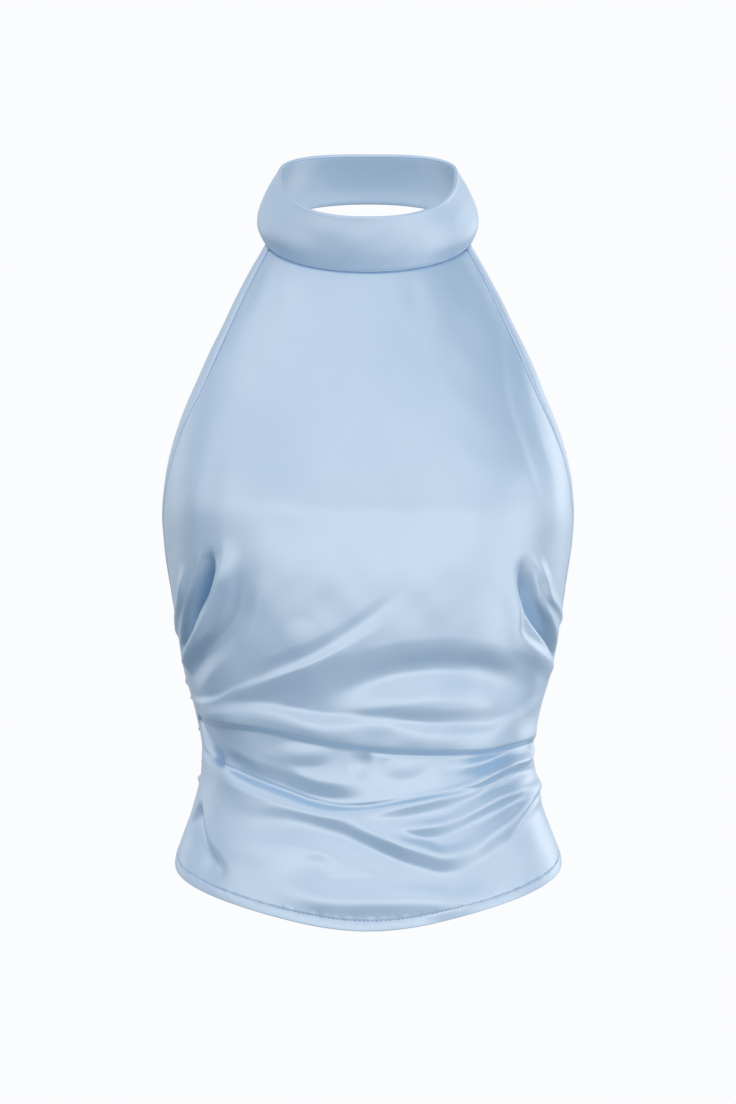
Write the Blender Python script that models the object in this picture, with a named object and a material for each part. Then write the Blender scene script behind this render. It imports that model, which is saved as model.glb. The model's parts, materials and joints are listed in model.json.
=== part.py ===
"""Halter neck top in satin, filled out as it is worn, with no wearer inside.

The cloth is a thin wall on a general figure. Two measures place a point on that figure:
  turn  degrees round the figure from the centre front, positive towards the wearer's left (+X)
  drop  millimetres straight down from the neck, where the wearer carries the top
The panels, their folds and the bindings on their edges are all worked out in those two
measures. The collar stands on a plane that leans forward with the neck.
All lengths are millimetres, except in the last step that makes a mesh. The front faces -Y.
"""
import math
from collections import namedtuple

import bmesh
import bpy
import numpy as np
from mathutils import Matrix, Vector

# ---- driving dimensions ---------------------------------------------------------------------
METRES = 0.001                # metres in a millimetre
CLOTH = 1.5                   # wall of the panels
HEM_CLOTH = 2.4               # wall where the hem is turned up inside
HEM_HEIGHT = 8.0
BINDING_CLOTH = 2.2           # wall of the folded binding strips
BINDING_WIDTH = 13.0
BINDING_PROUD = 0.4           # how far a binding stands above the panel beside it
SEAM_GAP = 0.35               # daylight between neighbouring pieces
COLLAR_GAP = 0.7              # the same below the band, whose straight facets dip nearer

FRONT_NECK, FRONT_HEM = 21.0, 491.0     # drops at the centre front
BACK_TOP, BACK_HEM = 254.0, 470.0       # drops at the centre back
UNDERARM, SIDE_HEM = 268.0, 443.0       # drops at the side seam
SIDE_SEAM = 92.0                        # turn of the side seams
BINDING_END = 266.0                     # drop at the side where the front bindings end
BINDING_TAPER = 8.0                     # drop over which a front binding narrows
BINDING_TAPER_PAST = 0.45               # share of that taper that lies past the binding's end
NECK_BLEND = 110.0                      # drop within which the front bends to the collar seam
HEM_DIP_FULLNESS = 0.04                 # rounds the corners of the dipping hem

COLLAR_LEAN = math.radians(25)
COLLAR_WALL = 3.0             # doubled satin with interfacing
COLLAR_CORNER = 82            # where the armhole edges meet the collar, degrees round the band
COLLAR_OVERHANG = 1.2         # how far the band stands out beyond the panel at their seam
COLLAR_SWEEP = 1.5            # how late its edges turn from the sides' height to the middle's

BUTTON_RADIUS, BUTTON_DOME = 5.5, 3.4
BUTTON_EDGE = 0.5             # upright edge of a button below its dome
BUTTON_UNDERSIDE = 0.9        # radius of its underside, as a share of its own
BUTTON_SHANK_RADIUS, BUTTON_SHANK = 1.7, 2.3
BUTTON_OFFSET = 7.5           # from the collar's closing edge to a button's centre
BUTTON_RISES = (11.0, 29.0)
LOOP_CORD = 0.8               # a loop's own radius
LOOP_RADIUS = 3.1             # of its bend round the shank
LOOP_FOOT = 4.5               # how far its ends lie past the closing edge
LOOP_WAIST, LOOP_END = 2.2, 1.3         # half its width half way along and at its ends

# ---- the figure: level sections -------------------------------------------------------------
SIDE_SHARPNESS = 6            # how quickly a section's front passes into its back at the sides
Section = namedtuple("Section", "drop half_breadth front_depth back_depth squareness")
FIGURE = [
    Section(-20, 82, 33, 70, 2.3),
    Section(0, 89, 42, 76, 2.3),
    Section(21, 100, 51, 84, 2.35),         # base of the neck
    Section(60, 115.5, 69, 92, 2.5),
    Section(100, 130, 87, 97, 2.6),
    Section(140, 142.5, 104.5, 100, 2.7),
    Section(175, 149, 117.5, 101, 2.8),
    Section(195, 149.5, 121.5, 101, 2.8),   # fullest
    Section(220, 147.5, 121.5, 99, 2.7),
    Section(262, 141.5, 119, 94, 2.5),
    Section(300, 136.5, 113, 86, 2.35),
    Section(342, 125, 102, 79, 2.3),
    Section(375, 121, 96.5, 77, 2.25),      # waist
    Section(405, 127, 97, 82, 2.25),
    Section(443, 140, 102, 92, 2.25),
    Section(490, 149, 106, 99, 2.25),
    Section(510, 151, 107, 100, 2.25),      # high hip
]

# ---- the cut edge of the front panel, from the collar to the underarm -----------------------
EdgePoint = namedtuple("EdgePoint", "drop turn")
ARMHOLE = [
    EdgePoint(0, 72), EdgePoint(40, 71.8), EdgePoint(77, 72), EdgePoint(110, 73.5),
    EdgePoint(137, 76), EdgePoint(160, 78.5), EdgePoint(178, 80.5), EdgePoint(205, 83.5),
    EdgePoint(235, 87), EdgePoint(262, 91), EdgePoint(UNDERARM, SIDE_SEAM),
    EdgePoint(SIDE_HEM, SIDE_SEAM),
]

# ---- the collar: rings up its leaning axis --------------------------------------------------
Ring = namedtuple("Ring", "rise front_rise back_rise centre half_breadth front back "
                          "front_squareness back_squareness")
COLLAR = [
    Ring(0, 0.5, 1, 20, 77, 70, 70, 2.0, 2.3),
    Ring(12, 12.5, 12, 21, 81.5, 70.3, 71, 2.05, 2.35),
    Ring(26, 25.6, 25, 32, 76.5, 79.2, 60, 2.2, 2.5),
    Ring(40, 38.3, 39, 45, 66.5, 89, 45, 2.4, 2.7),
]
COLLAR_RISE = COLLAR[-1].rise

# ---- folds ----------------------------------------------------------------------------------
# A fold runs along its path of (turn, drop) points. Its height stands out from the figure and
# falls away to nothing within left and right, the widths on either hand for someone who walks
# the path. A small crisp makes a sharp crest. The fades are the shares of its length over which
# it dies away at its two ends.
Fold = namedtuple("Fold", "name height left right crisp fade_in fade_out path")
FRONT_FOLDS = [
    Fold("drape_ridge", 2.5, 8, 15, 0.4, 0.1, 0.4,
         [(-84, 332), (-61, 330), (-48, 322), (-33, 312), (-19, 301), (-9, 291), (4, 276), (16, 256)]),
    Fold("under_drape", -8, 25, 22, 0.6, 0.5, 0.1,
         [(-31, 331), (-19, 326), (-7, 319), (11, 310), (27, 308), (43, 311), (56, 320), (69, 330)]),
    Fold("pouf_crest", 3, 26, 10, 0.9, 0.35, 0.1,
         [(-15, 333), (5, 332), (25, 332), (44, 332), (61, 325), (80, 316)]),
    Fold("tongue_ridge", 3, 9, 12, 0.6, 0.1, 0.1,
         [(-70, 342), (-47, 338), (-37, 339), (-27, 343), (-16, 347), (5, 347), (13, 350), (25, 354),
          (45, 355), (53, 350), (63, 342), (69, 334), (87, 329)]),
    Fold("pouf_lip", 4.5, 17, 10, 0.5, 0.06, 0.05,
         [(-76, 343), (-60, 345), (-42, 348), (-28, 354), (-12, 358), (5, 362), (26, 363), (46, 364),
          (59, 360), (87, 357)]),
    Fold("side_pocket", -10, 9, 4, 0.5, 0.1, 0.3, [(-73, 342), (-72, 354), (-68, 365), (-60, 377)]),
    Fold("long_tuck", -4, 18, 12, 0.6, 0.2, 0.45,
         [(-61, 370), (-44, 382), (-28, 389), (-16, 395), (1, 397)]),
    Fold("long_edge", 2, 8, 20, 0.5, 0.05, 0.1,
         [(-90, 368), (-68, 379), (-53, 388), (-36, 398), (-24, 405), (-12, 409), (1, 408), (16, 404),
          (33, 400), (48, 395), (61, 389), (80, 381)]),
    Fold("gather_1", 3, 7, 7, 0.7, 0, 0.35, [(81, 366), (63, 371), (53, 379), (42, 386), (29, 394)]),
    Fold("gather_2", 3, 5, 5, 0.7, 0, 0.4, [(90, 374), (67, 379), (55, 384), (46, 390)]),
    Fold("gather_4", 2.5, 5, 5, 0.7, 0, 0.4, [(90, 384), (67, 391), (54, 396), (44, 401)]),
    Fold("gather_5", 4.5, 11, 8, 0.6, 0, 0.3,
         [(90, 394), (64, 399), (53, 404), (45, 410), (32, 418), (21, 421), (9, 420), (0, 416)]),
    Fold("gather_6", 5, 12, 11, 0.6, 0, 0.25,
         [(90, 401), (69, 408), (55, 420), (43, 434), (33, 438), (20, 434), (10, 428), (-9, 415)]),
    Fold("low_trough", -4, 15, 19, 1, 0.35, 0.25,
         [(-70, 417), (-51, 416), (-35, 420), (-23, 422), (-11, 429), (1, 438), (13, 444), (24, 454),
          (34, 459), (47, 457)]),
    Fold("flare_crease", -5.5, 13, 16, 0.8, 0.1, 0.35,
         [(-76, 409), (-67, 420), (-59, 434), (-52, 446), (-44, 459)]),
    Fold("flare_ridge", 1, 10, 10, 0.9, 0.2, 0.4, [(-84, 420), (-70, 434), (-63, 450), (-51, 461)]),
    Fold("sheen_swell", 1, 12, 17, 0.9, 0.3, 0.5, [(-60, 428), (-45, 432), (-26, 434)]),
    Fold("hem_swell", 4.5, 16, 15, 0.9, 0.3, 0.3,
         [(-40, 457), (-26, 465), (-9, 470), (12, 469), (30, 470), (51, 467)]),
    Fold("underarm_crest", 4.5, 14, 5, 0.5, 0.3, 0,
         [(-45, 211), (-45, 229), (-51, 257), (-60, 279), (-73, 300)]),
    Fold("underarm_pit", -10.5, 6, 10, 0.4, 0.35, 0, [(-49, 218), (-52, 243), (-61, 266), (-75, 295)]),
    Fold("underarm_bulge", 3, 7, 8, 0.6, 0.3, 0.1, [(-60, 229), (-69, 258), (-86, 284)]),
    Fold("bust_dip_left", -4.5, 15, 11, 0.9, 0.4, 0.25,
         [(-38, 218), (-40, 243), (-42, 263), (-50, 284), (-62, 300), (-78, 318)]),
    Fold("bust_crest_right", 2, 8, 5, 0.5, 0.3, 0, [(51, 220), (59, 242), (66, 258), (86, 273)]),
    Fold("bust_pit_right", -10.5, 12, 8, 0.6, 0.35, 0, [(49, 223), (52, 250), (60, 272), (83, 300)]),
    Fold("side_crest_right", 2.5, 7, 14, 0.5, 0.35, 0, [(46, 237), (50, 264), (54, 286), (77, 306)]),
]
BACK_FOLDS = [              # turns run on from 92 at the wearer's left side to 268 at the right
    Fold("back_drape", 5.5, 7, 17, 0.4, 0.1, 0.45,
         [(92, 322), (108, 326), (132, 336), (158, 345), (188, 348), (214, 342)]),
    Fold("back_drape_low", 6, 6, 16, 0.4, 0.15, 0.1,
         [(118, 366), (140, 380), (168, 391), (200, 394), (228, 385), (250, 372), (268, 362)]),
    Fold("back_tuck_left", -5, 9, 7, 0.7, 0.05, 0.4, [(92, 342), (112, 350), (136, 362), (160, 368)]),
    Fold("back_tuck_right", -5, 8, 8, 0.7, 0.4, 0.05, [(206, 362), (228, 358), (250, 346), (268, 340)]),
    Fold("back_gather", 4.5, 6, 8, 0.5, 0.4, 0.05, [(196, 322), (224, 326), (250, 322), (268, 316)]),
    Fold("back_pleat_left", 4, 6, 7, 0.5, 0.05, 0.45, [(92, 386), (110, 396), (130, 410), (152, 420)]),
    Fold("back_pleat_right", 4, 6, 7, 0.5, 0.45, 0.05, [(214, 416), (234, 406), (252, 394), (268, 388)]),
    Fold("back_underarm_left", -5, 8, 8, 0.6, 0.3, 0.05, [(128, 262), (112, 280), (96, 300)]),
    Fold("back_underarm_right", -5, 8, 8, 0.6, 0.3, 0.05, [(236, 262), (250, 282), (264, 302)]),
    Fold("back_hem_swell", 3, 12, 12, 0.9, 0.35, 0.35, [(120, 440), (156, 448), (196, 446), (232, 438)]),
]
FOLD_ROUND = 125.0            # radius at which a turn is measured along the cloth, for the folds
NARROWEST_SLOPE = 6.0         # a fold's steep hand is at least this wide in the wall
MESH_TURN, MESH_DROP = 2.2, 3.2         # the folds are evened out over this much of the wall
SEAM_HOLD = 0.65              # share of a fold's height that is left at the side seams
SEAM_REACH = 34.0             # turn within which the side seams hold the folds down
PATH_STEPS = 8                # straight pieces between two points of a fold's path


def curve_through(xs, ys):
    """A smooth function through a table's values."""
    xs, ys = np.asarray(xs, float), np.asarray(ys, float)
    slope = np.gradient(ys, xs)
    level = np.diff(ys) == 0
    slope[:-1][level] = slope[1:][level] = 0    # a level stretch of the table stays level

    def value(x):
        x = np.clip(np.asarray(x, float), xs[0], xs[-1])
        i = np.clip(np.searchsorted(xs, x, side="right") - 1, 0, len(xs) - 2)
        step = xs[i + 1] - xs[i]
        t = (x - xs[i]) / step
        return ((2 * t**3 - 3 * t**2 + 1) * ys[i] + (t**3 - 2 * t**2 + t) * step * slope[i]
                + (3 * t**2 - 2 * t**3) * ys[i + 1] + (t**3 - t**2) * step * slope[i + 1])
    return value


def column(table, name):
    return [getattr(row, name) for row in table]


def columns(table, key):
    """A dictionary of smooth functions, one for each column, of the key column."""
    names = [name for name in table[0]._fields if name != key]
    return {name: curve_through(column(table, key), column(table, name)) for name in names}


figure_at = columns(FIGURE, "drop")
armhole_turn = curve_through(column(ARMHOLE, "drop"), column(ARMHOLE, "turn"))
collar_at = columns(COLLAR, "rise")


def ease(t):
    """Goes smoothly from 0 to 1 as t does."""
    t = np.clip(t, 0, 1)
    return t * t * (3 - 2 * t)


def oval(turn, half_breadth, front, back, front_squareness, back_squareness):
    """Across and forward distances of a point on a rounded oval."""
    across, ahead = np.sin(np.radians(turn)), np.cos(np.radians(turn))
    is_front = 0.5 + 0.5 * np.tanh(ahead * SIDE_SHARPNESS)
    depth = front * is_front + back * (1 - is_front)
    power = front_squareness * is_front + back_squareness * (1 - is_front)
    radius = (np.abs(across / half_breadth)**power + np.abs(ahead / depth)**power)**(-1 / power)
    return radius * across, radius * ahead


def figure(turn, drop):
    """A point on the bare figure."""
    square = figure_at["squareness"](drop)
    x, forward = oval(turn, figure_at["half_breadth"](drop), figure_at["front_depth"](drop),
                      figure_at["back_depth"](drop), square, square)
    return np.stack([x, -forward, -drop + 0 * x], -1)


def fold_path(points):
    """A smooth line through a fold's points, measured along the cloth."""
    p = np.array([(math.radians(turn) * FOLD_ROUND, -drop) for turn, drop in points])
    p = np.vstack([2 * p[0] - p[1], p, 2 * p[-1] - p[-2]])
    t = np.linspace(0, 1, PATH_STEPS, endpoint=False)[:, None]
    pieces = []
    for a, b, c, d in zip(p, p[1:], p[2:], p[3:]):
        pieces.append(0.5 * (2 * b + (c - a) * t + (2 * a - 5 * b + 4 * c - d) * t**2
                             + (3 * b - a - 3 * c + d) * t**3))
    return np.vstack(pieces + [p[-2][None]])


def fold_height(fold, x, z):
    """What one fold adds at points (x, z) measured along the cloth."""
    path = fold_path(fold.path)
    leg = np.diff(path, axis=0)
    length = np.linalg.norm(leg, axis=1)
    start = np.concatenate([[0], np.cumsum(length)])
    away_x = x[:, None] - path[None, :-1, 0]
    away_z = z[:, None] - path[None, :-1, 1]
    share = np.clip((away_x * leg[:, 0] + away_z * leg[:, 1]) / length**2, 0, 1)
    away = np.hypot(away_x - share * leg[:, 0], away_z - share * leg[:, 1])
    nearest = away.argmin(1)
    row = np.arange(len(x))
    on_left = leg[nearest, 0] * away_z[row, nearest] - leg[nearest, 1] * away_x[row, nearest] >= 0
    along = (start[nearest] + share[row, nearest] * length[nearest]) / start[-1]
    left, right = max(fold.left, NARROWEST_SLOPE), max(fold.right, NARROWEST_SLOPE)
    off = away[row, nearest] / np.where(on_left, left, right)
    soft = (np.hypot(off, fold.crisp) - fold.crisp) / (math.hypot(1, fold.crisp) - fold.crisp)
    height = fold.height * np.clip(1 - soft, 0, 1)**2
    if fold.fade_in:
        height = height * ease(along / fold.fade_in)
    if fold.fade_out:
        height = height * ease((1 - along) / fold.fade_out)
    return height


def folds_together(turn, drop):
    total = np.zeros(turn.size)
    for folds, round_turn in ((FRONT_FOLDS, turn), (BACK_FOLDS, turn % 360)):
        x = np.radians(round_turn.ravel()) * FOLD_ROUND
        for fold in folds:
            total += fold_height(fold, x, -drop.ravel())
    return total.reshape(turn.shape)


def relief(turn, drop):
    """How far the cloth stands off the figure, evened out between the wall's points."""
    turn, drop = np.broadcast_arrays(np.asarray(turn, float), np.asarray(drop, float))
    nearby = [folds_together(turn + i * MESH_TURN, drop + j * MESH_DROP)
              for i in (-1, 0, 1) for j in (-1, 0, 1)]
    from_seam = np.abs(np.abs(turn) - SIDE_SEAM)
    hold = SEAM_HOLD + (1 - SEAM_HOLD) * ease(from_seam / SEAM_REACH)
    return sum(nearby) / len(nearby) * hold


def normals_of(surface, a, b, step_a, step_b):
    """Outward normals of surface(a, b); a runs towards +X at the front and b downwards."""
    along = surface(a + step_a, b) - surface(a - step_a, b)
    up = surface(a, b - step_b) - surface(a, b + step_b)
    normal = np.cross(along, up)
    return normal / np.linalg.norm(normal, axis=-1, keepdims=True)


def cloth(turn, drop):
    """A point on the folded cloth."""
    outward = normals_of(figure, turn, drop, step_a=0.5, step_b=0.5)
    return figure(turn, drop) + outward * relief(turn, drop)[..., None]


# ---- the collar's surface -------------------------------------------------------------------
def collar_face(turn, rise, inward=0.0):
    """A point on the band's outer face, or inward of it; turn is measured round the band."""
    turn, rise = np.broadcast_arrays(np.asarray(turn, float), np.asarray(rise, float))
    at = {name: value(rise) for name, value in collar_at.items()}
    x, forward = oval(turn, at["half_breadth"] - inward, at["front"] - inward, at["back"] - inward,
                      at["front_squareness"], at["back_squareness"])
    ahead = np.cos(np.radians(turn))
    front_share = np.clip(ahead, 0, 1)**COLLAR_SWEEP
    back_share = np.clip(-ahead, 0, 1)**COLLAR_SWEEP
    up = (rise * (1 - front_share - back_share) + at["front_rise"] * front_share
          + at["back_rise"] * back_share)
    up = up + np.minimum(rise, 0) * (front_share + back_share)      # on past the lower edge
    level = at["centre"] - forward
    y = level * math.cos(COLLAR_LEAN) - up * math.sin(COLLAR_LEAN)
    z = level * math.sin(COLLAR_LEAN) + up * math.cos(COLLAR_LEAN)
    return np.stack([x, y, z], -1)


# ---- the panels' surfaces -------------------------------------------------------------------
def hem_dip(across):
    """0 at the centre front and 1 at the sides."""
    return 1 - np.cos(across * math.pi / 2) + HEM_DIP_FULLNESS * np.sin(across * math.pi)**2


def front_sheet(across, side_drop):
    """The front from edge to edge: across runs -1 to 1, side_drop is the drop at its edge."""
    centre_drop = FRONT_NECK + side_drop * (FRONT_HEM - FRONT_NECK) / SIDE_HEM
    drop = centre_drop + (side_drop - centre_drop) * hem_dip(across)
    body = cloth(across * armhole_turn(side_drop), drop)
    neck_drop = FRONT_NECK * (1 - hem_dip(across))
    neck = cloth(across * armhole_turn(0), neck_drop)
    seam = collar_face(across * COLLAR_CORNER, -COLLAR_GAP, inward=COLLAR_OVERHANG)
    return body + (seam - neck) * ease(1 - side_drop / NECK_BLEND)[..., None]


def back_sheet(across, down):
    """The back: across runs -1 to 1 from the wearer's left seam to the right, down 0 to 1."""
    side_drop = UNDERARM + (SIDE_HEM - UNDERARM) * down
    centre_drop = BACK_TOP + (BACK_HEM - BACK_TOP) * down
    drop = centre_drop + (side_drop - centre_drop) * (1 - np.cos(across * math.pi / 2))
    turn = 180 + across * (180 - SIDE_SEAM)
    return cloth(np.where(turn > 180, turn - 360, turn), drop)


def degrees_of(length, turn, drop):
    """The turn that a length along the cloth takes up at a place on the figure."""
    step = np.linalg.norm(figure(turn, drop) - figure(turn - 1, drop), axis=-1)
    return length / step


def strip_share(side_drop):
    """The share of the front's half width that its armhole binding takes."""
    taper_end = BINDING_END + BINDING_TAPER_PAST * BINDING_TAPER
    width = BINDING_WIDTH * ease((taper_end - side_drop) / BINDING_TAPER)
    edge = armhole_turn(side_drop)
    return degrees_of(width, edge, side_drop) / edge


def gap_share(side_drop):
    edge = armhole_turn(side_drop)
    return degrees_of(SEAM_GAP, edge, side_drop) / edge


# ---- making meshes --------------------------------------------------------------------------
def add_object(name, mesh, material):
    mesh.materials.append(material)
    mesh.shade_smooth()
    made = bpy.data.objects.new(name, mesh)
    bpy.context.scene.collection.objects.link(made)
    return made


def closed_mesh(name, outer, inner):
    """A wall between two grids of points that match row by row."""
    rows, cols = outer.shape[:2]
    bm = bmesh.new()
    layers = [[[bm.verts.new(point * METRES) for point in line] for line in grid]
              for grid in (outer, inner)]
    for layer in layers:
        for r in range(rows - 1):
            for c in range(cols - 1):
                bm.faces.new((layer[r][c], layer[r][c + 1], layer[r + 1][c + 1], layer[r + 1][c]))
    edge = ([(0, c) for c in range(cols)] + [(r, cols - 1) for r in range(1, rows)]
            + [(rows - 1, c) for c in range(cols - 2, -1, -1)] + [(r, 0) for r in range(rows - 2, 0, -1)])
    out, into = layers
    for (r, c), (r2, c2) in zip(edge, edge[1:] + edge[:1]):
        bm.faces.new((out[r][c], out[r2][c2], into[r2][c2], into[r][c]))
    bmesh.ops.recalc_face_normals(bm, faces=bm.faces)
    bmesh.ops.triangulate(bm, faces=bm.faces)
    mesh = bpy.data.meshes.new(name)
    bm.to_mesh(mesh)
    bm.free()
    return mesh


def cloth_wall(name, sheet, across, down, thickness, material, lift=0.0):
    """A wall of cloth on a sheet, with its outer face lifted off the sheet."""
    a, b = np.meshgrid(np.asarray(across, float), np.asarray(down, float))
    outward = normals_of(sheet, a, b, step_a=0.002, step_b=0.002 * np.ptp(b))
    outer = sheet(a, b) + outward * lift
    inner = outer - outward * (thickness + 0 * b)[..., None]
    return add_object(name, closed_mesh(name, outer, inner), material)


def satin(name, colour, roughness):
    material = bpy.data.materials.new(name)
    material.use_nodes = True
    shader = material.node_tree.nodes["Principled BSDF"]
    shader.inputs["Base Color"].default_value = (*colour, 1)
    shader.inputs["Roughness"].default_value = roughness
    shader.inputs["Metallic"].default_value = 0.0
    return material


# ---- sub-parts ------------------------------------------------------------------------------
FRONT_SMOOTH_ROWS, FRONT_FOLD_ROWS = 11, 33
FOLDS_START = 205.0           # drop at the side where the front's close rows begin
SIDES_START = 0.39            # share of the half width where the close columns begin
SIDE_COLUMNS, MIDDLE_COLUMNS = 16, 10
FRONT_COLUMNS = np.concatenate([
    np.linspace(-1, -SIDES_START, SIDE_COLUMNS, endpoint=False),
    np.linspace(-SIDES_START, SIDES_START, MIDDLE_COLUMNS, endpoint=False),
    np.linspace(SIDES_START, 1, SIDE_COLUMNS + 1)])
FRONT_ROWS = np.sort(np.concatenate([
    np.linspace(0, FOLDS_START, FRONT_SMOOTH_ROWS, endpoint=False),
    np.linspace(FOLDS_START, SIDE_HEM - HEM_HEIGHT, FRONT_FOLD_ROWS), [BINDING_END, SIDE_HEM]]))
BACK_COLUMNS, BACK_ROWS = 34, 19
COLLAR_COLUMNS = 56
COLLAR_RISES = (0, 3, 8, 13, 19, 26, 33, COLLAR_RISE)
RIM_STEPS = 3                 # points round the collar's folded upper edge
ROUND_STEPS = 16              # sides of a round button


def front_panel(material):
    def panel(across, side_drop):
        return front_sheet(across * (1 - strip_share(side_drop) - gap_share(side_drop)), side_drop)

    thickness = np.where(FRONT_ROWS < SIDE_HEM - HEM_HEIGHT - 1, CLOTH, HEM_CLOTH)[:, None]
    return cloth_wall("front_panel", panel, FRONT_COLUMNS, FRONT_ROWS, thickness, material)


def back_height(across):
    side_share = 1 - np.cos(across * math.pi / 2)
    return (BACK_HEM - BACK_TOP) * (1 - side_share) + (SIDE_HEM - UNDERARM) * side_share


def back_panel(material):
    def panel(across, down):
        start = (BINDING_WIDTH + SEAM_GAP) / back_height(across)
        return back_sheet(across, start + (1 - start) * down)

    hem = 1 - HEM_HEIGHT / (BACK_HEM - BACK_TOP)
    rows = np.append(np.linspace(0, hem, BACK_ROWS), 1)
    thickness = np.where(rows < hem - 0.01, CLOTH, HEM_CLOTH)[:, None]
    across = np.linspace(-1, 1, BACK_COLUMNS)
    return cloth_wall("back_panel", panel, across, rows, thickness, material)


def armhole_binding(name, side, material):
    """side is 1 on the wearer's left and -1 on the right."""
    def strip(share, side_drop):
        inner_edge = 1 - strip_share(side_drop)
        edge = inner_edge + (1 - inner_edge) * (share if side > 0 else 1 - share)
        return front_sheet(side * edge, side_drop)

    rows = FRONT_ROWS[FRONT_ROWS <= BINDING_END]
    return cloth_wall(name, strip, [0, 0.5, 1], rows, BINDING_CLOTH, material, lift=BINDING_PROUD)


def back_top_binding(material):
    def strip(across, down):
        return back_sheet(across, down * BINDING_WIDTH / back_height(across))

    across = np.linspace(-1, 1, BACK_COLUMNS)
    return cloth_wall("back_top_binding", strip, across, [0, 0.5, 1], BINDING_CLOTH, material,
                      lift=BINDING_PROUD)


def collar(material):
    """The band: up its outer face, over the folded rim and down its inner face."""
    half_gap = math.degrees(0.5 * SEAM_GAP / COLLAR[0].back)
    turns = np.linspace(-180 + half_gap, 180 - half_gap, COLLAR_COLUMNS)
    rises = np.array(COLLAR_RISES, float)
    turn, rise = np.meshgrid(turns, rises)
    outer = collar_face(turn, rise)
    inner = collar_face(turn, rise[::-1], inward=COLLAR_WALL)
    up = np.array([0, -math.sin(COLLAR_LEAN), math.cos(COLLAR_LEAN)])
    middle, half_wall = 0.5 * (outer[-1] + inner[0]), 0.5 * (outer[-1] - inner[0])
    rim = [middle + half_wall * math.cos(angle) + up * 0.5 * COLLAR_WALL * math.sin(angle)
           for angle in np.linspace(0, math.pi, RIM_STEPS + 2)[1:-1]]
    outline = np.concatenate([outer, rim, inner])

    bm = bmesh.new()
    lines = [[bm.verts.new(point * METRES) for point in line] for line in outline]
    for low, high in zip(lines, lines[1:] + lines[:1]):
        for c in range(len(turns) - 1):
            bm.faces.new((low[c], low[c + 1], high[c + 1], high[c]))
    count = len(rises)
    for c in (0, len(turns) - 1):
        wall = list(zip([line[c] for line in lines[:count]], [line[c] for line in lines[:-count - 1:-1]]))
        for (out_low, in_low), (out_high, in_high) in zip(wall, wall[1:]):
            bm.faces.new((out_low, out_high, in_high, in_low))
        bm.faces.new([line[c] for line in lines[count - 1:count + RIM_STEPS + 1]])
    bmesh.ops.recalc_face_normals(bm, faces=bm.faces)
    bmesh.ops.triangulate(bm, faces=bm.faces)
    mesh = bpy.data.meshes.new("collar")
    bm.to_mesh(mesh)
    bm.free()
    return add_object("collar", mesh, material)


def collar_place(offset, rise):
    """Axes on the collar's outer face, offset along it from the closing edge at the back.

    Local X runs away from the closing edge towards the wearer's left, Y up the band, Z outward.
    """
    def face(distance, height):
        near = collar_face(179.0, height)
        step = np.linalg.norm(near - collar_face(178.0, height), axis=-1)
        return collar_face(180 - distance / step, height)

    here = face(offset, rise)
    along = face(offset + 0.5, rise) - face(offset - 0.5, rise)
    up = face(offset, rise + 0.5) - face(offset, rise - 0.5)
    x_axis = Vector(along).normalized()
    z_axis = Vector(np.cross(up, along)).normalized()
    if z_axis.y < 0:
        z_axis.negate()
    y_axis = z_axis.cross(x_axis)
    axes = Matrix((x_axis, y_axis, z_axis)).transposed().to_4x4()
    return Matrix.Translation(Vector(here) * METRES) @ axes


def button(name, rise, material):
    """A covered button: a shank under a dome, turned about its own axis."""
    base, under = SEAM_GAP, SEAM_GAP + BUTTON_SHANK
    profile = [(0, base), (BUTTON_SHANK_RADIUS, base), (BUTTON_SHANK_RADIUS, under),
               (BUTTON_RADIUS * BUTTON_UNDERSIDE, under)]
    dome, dome_height = under + BUTTON_EDGE, BUTTON_DOME - BUTTON_EDGE
    profile += [(BUTTON_RADIUS * math.cos(a), dome + dome_height * math.sin(a))
                for a in np.radians([0, 30, 60, 90])]
    bm = bmesh.new()
    points = [bm.verts.new((radius * METRES, 0, height * METRES)) for radius, height in profile]
    edges = [bm.edges.new(pair) for pair in zip(points, points[1:])]
    bmesh.ops.spin(bm, geom=points + edges, cent=(0, 0, 0), axis=(0, 0, 1), angle=2 * math.pi,
                   steps=ROUND_STEPS, use_merge=True)
    bmesh.ops.remove_doubles(bm, verts=bm.verts, dist=1e-6)
    bmesh.ops.recalc_face_normals(bm, faces=bm.faces)
    mesh = bpy.data.meshes.new(name)
    bm.to_mesh(mesh)
    bm.free()
    made = add_object(name, mesh, material)
    made.matrix_world = collar_place(BUTTON_OFFSET, rise)
    return made


def button_loop(name, rise, material):
    """A rouleau loop: from past the closing edge, round the shank and back."""
    height = SEAM_GAP + LOOP_CORD
    bend = [(LOOP_RADIUS * math.cos(a), LOOP_RADIUS * math.sin(a))
            for a in np.linspace(-math.pi / 2, math.pi / 2, ROUND_STEPS // 2 + 1)]
    foot = -(BUTTON_OFFSET + LOOP_FOOT)
    path = ([(foot, -LOOP_END), (foot / 2, -LOOP_WAIST)] + bend
            + [(foot / 2, LOOP_WAIST), (foot, LOOP_END)])
    curve = bpy.data.curves.new(name, "CURVE")
    curve.dimensions = "3D"
    curve.bevel_depth = LOOP_CORD * METRES
    curve.bevel_resolution = 2
    curve.use_fill_caps = True
    spline = curve.splines.new("POLY")
    spline.points.add(len(path) - 1)
    for point, (x, y) in zip(spline.points, path):
        on_face = collar_place(BUTTON_OFFSET + x, rise + y)
        point.co = (*(on_face @ Vector((0, 0, height * METRES))), 1)
    made = bpy.data.objects.new(name, curve)
    curve.materials.append(material)
    bpy.context.scene.collection.objects.link(made)
    return made


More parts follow.
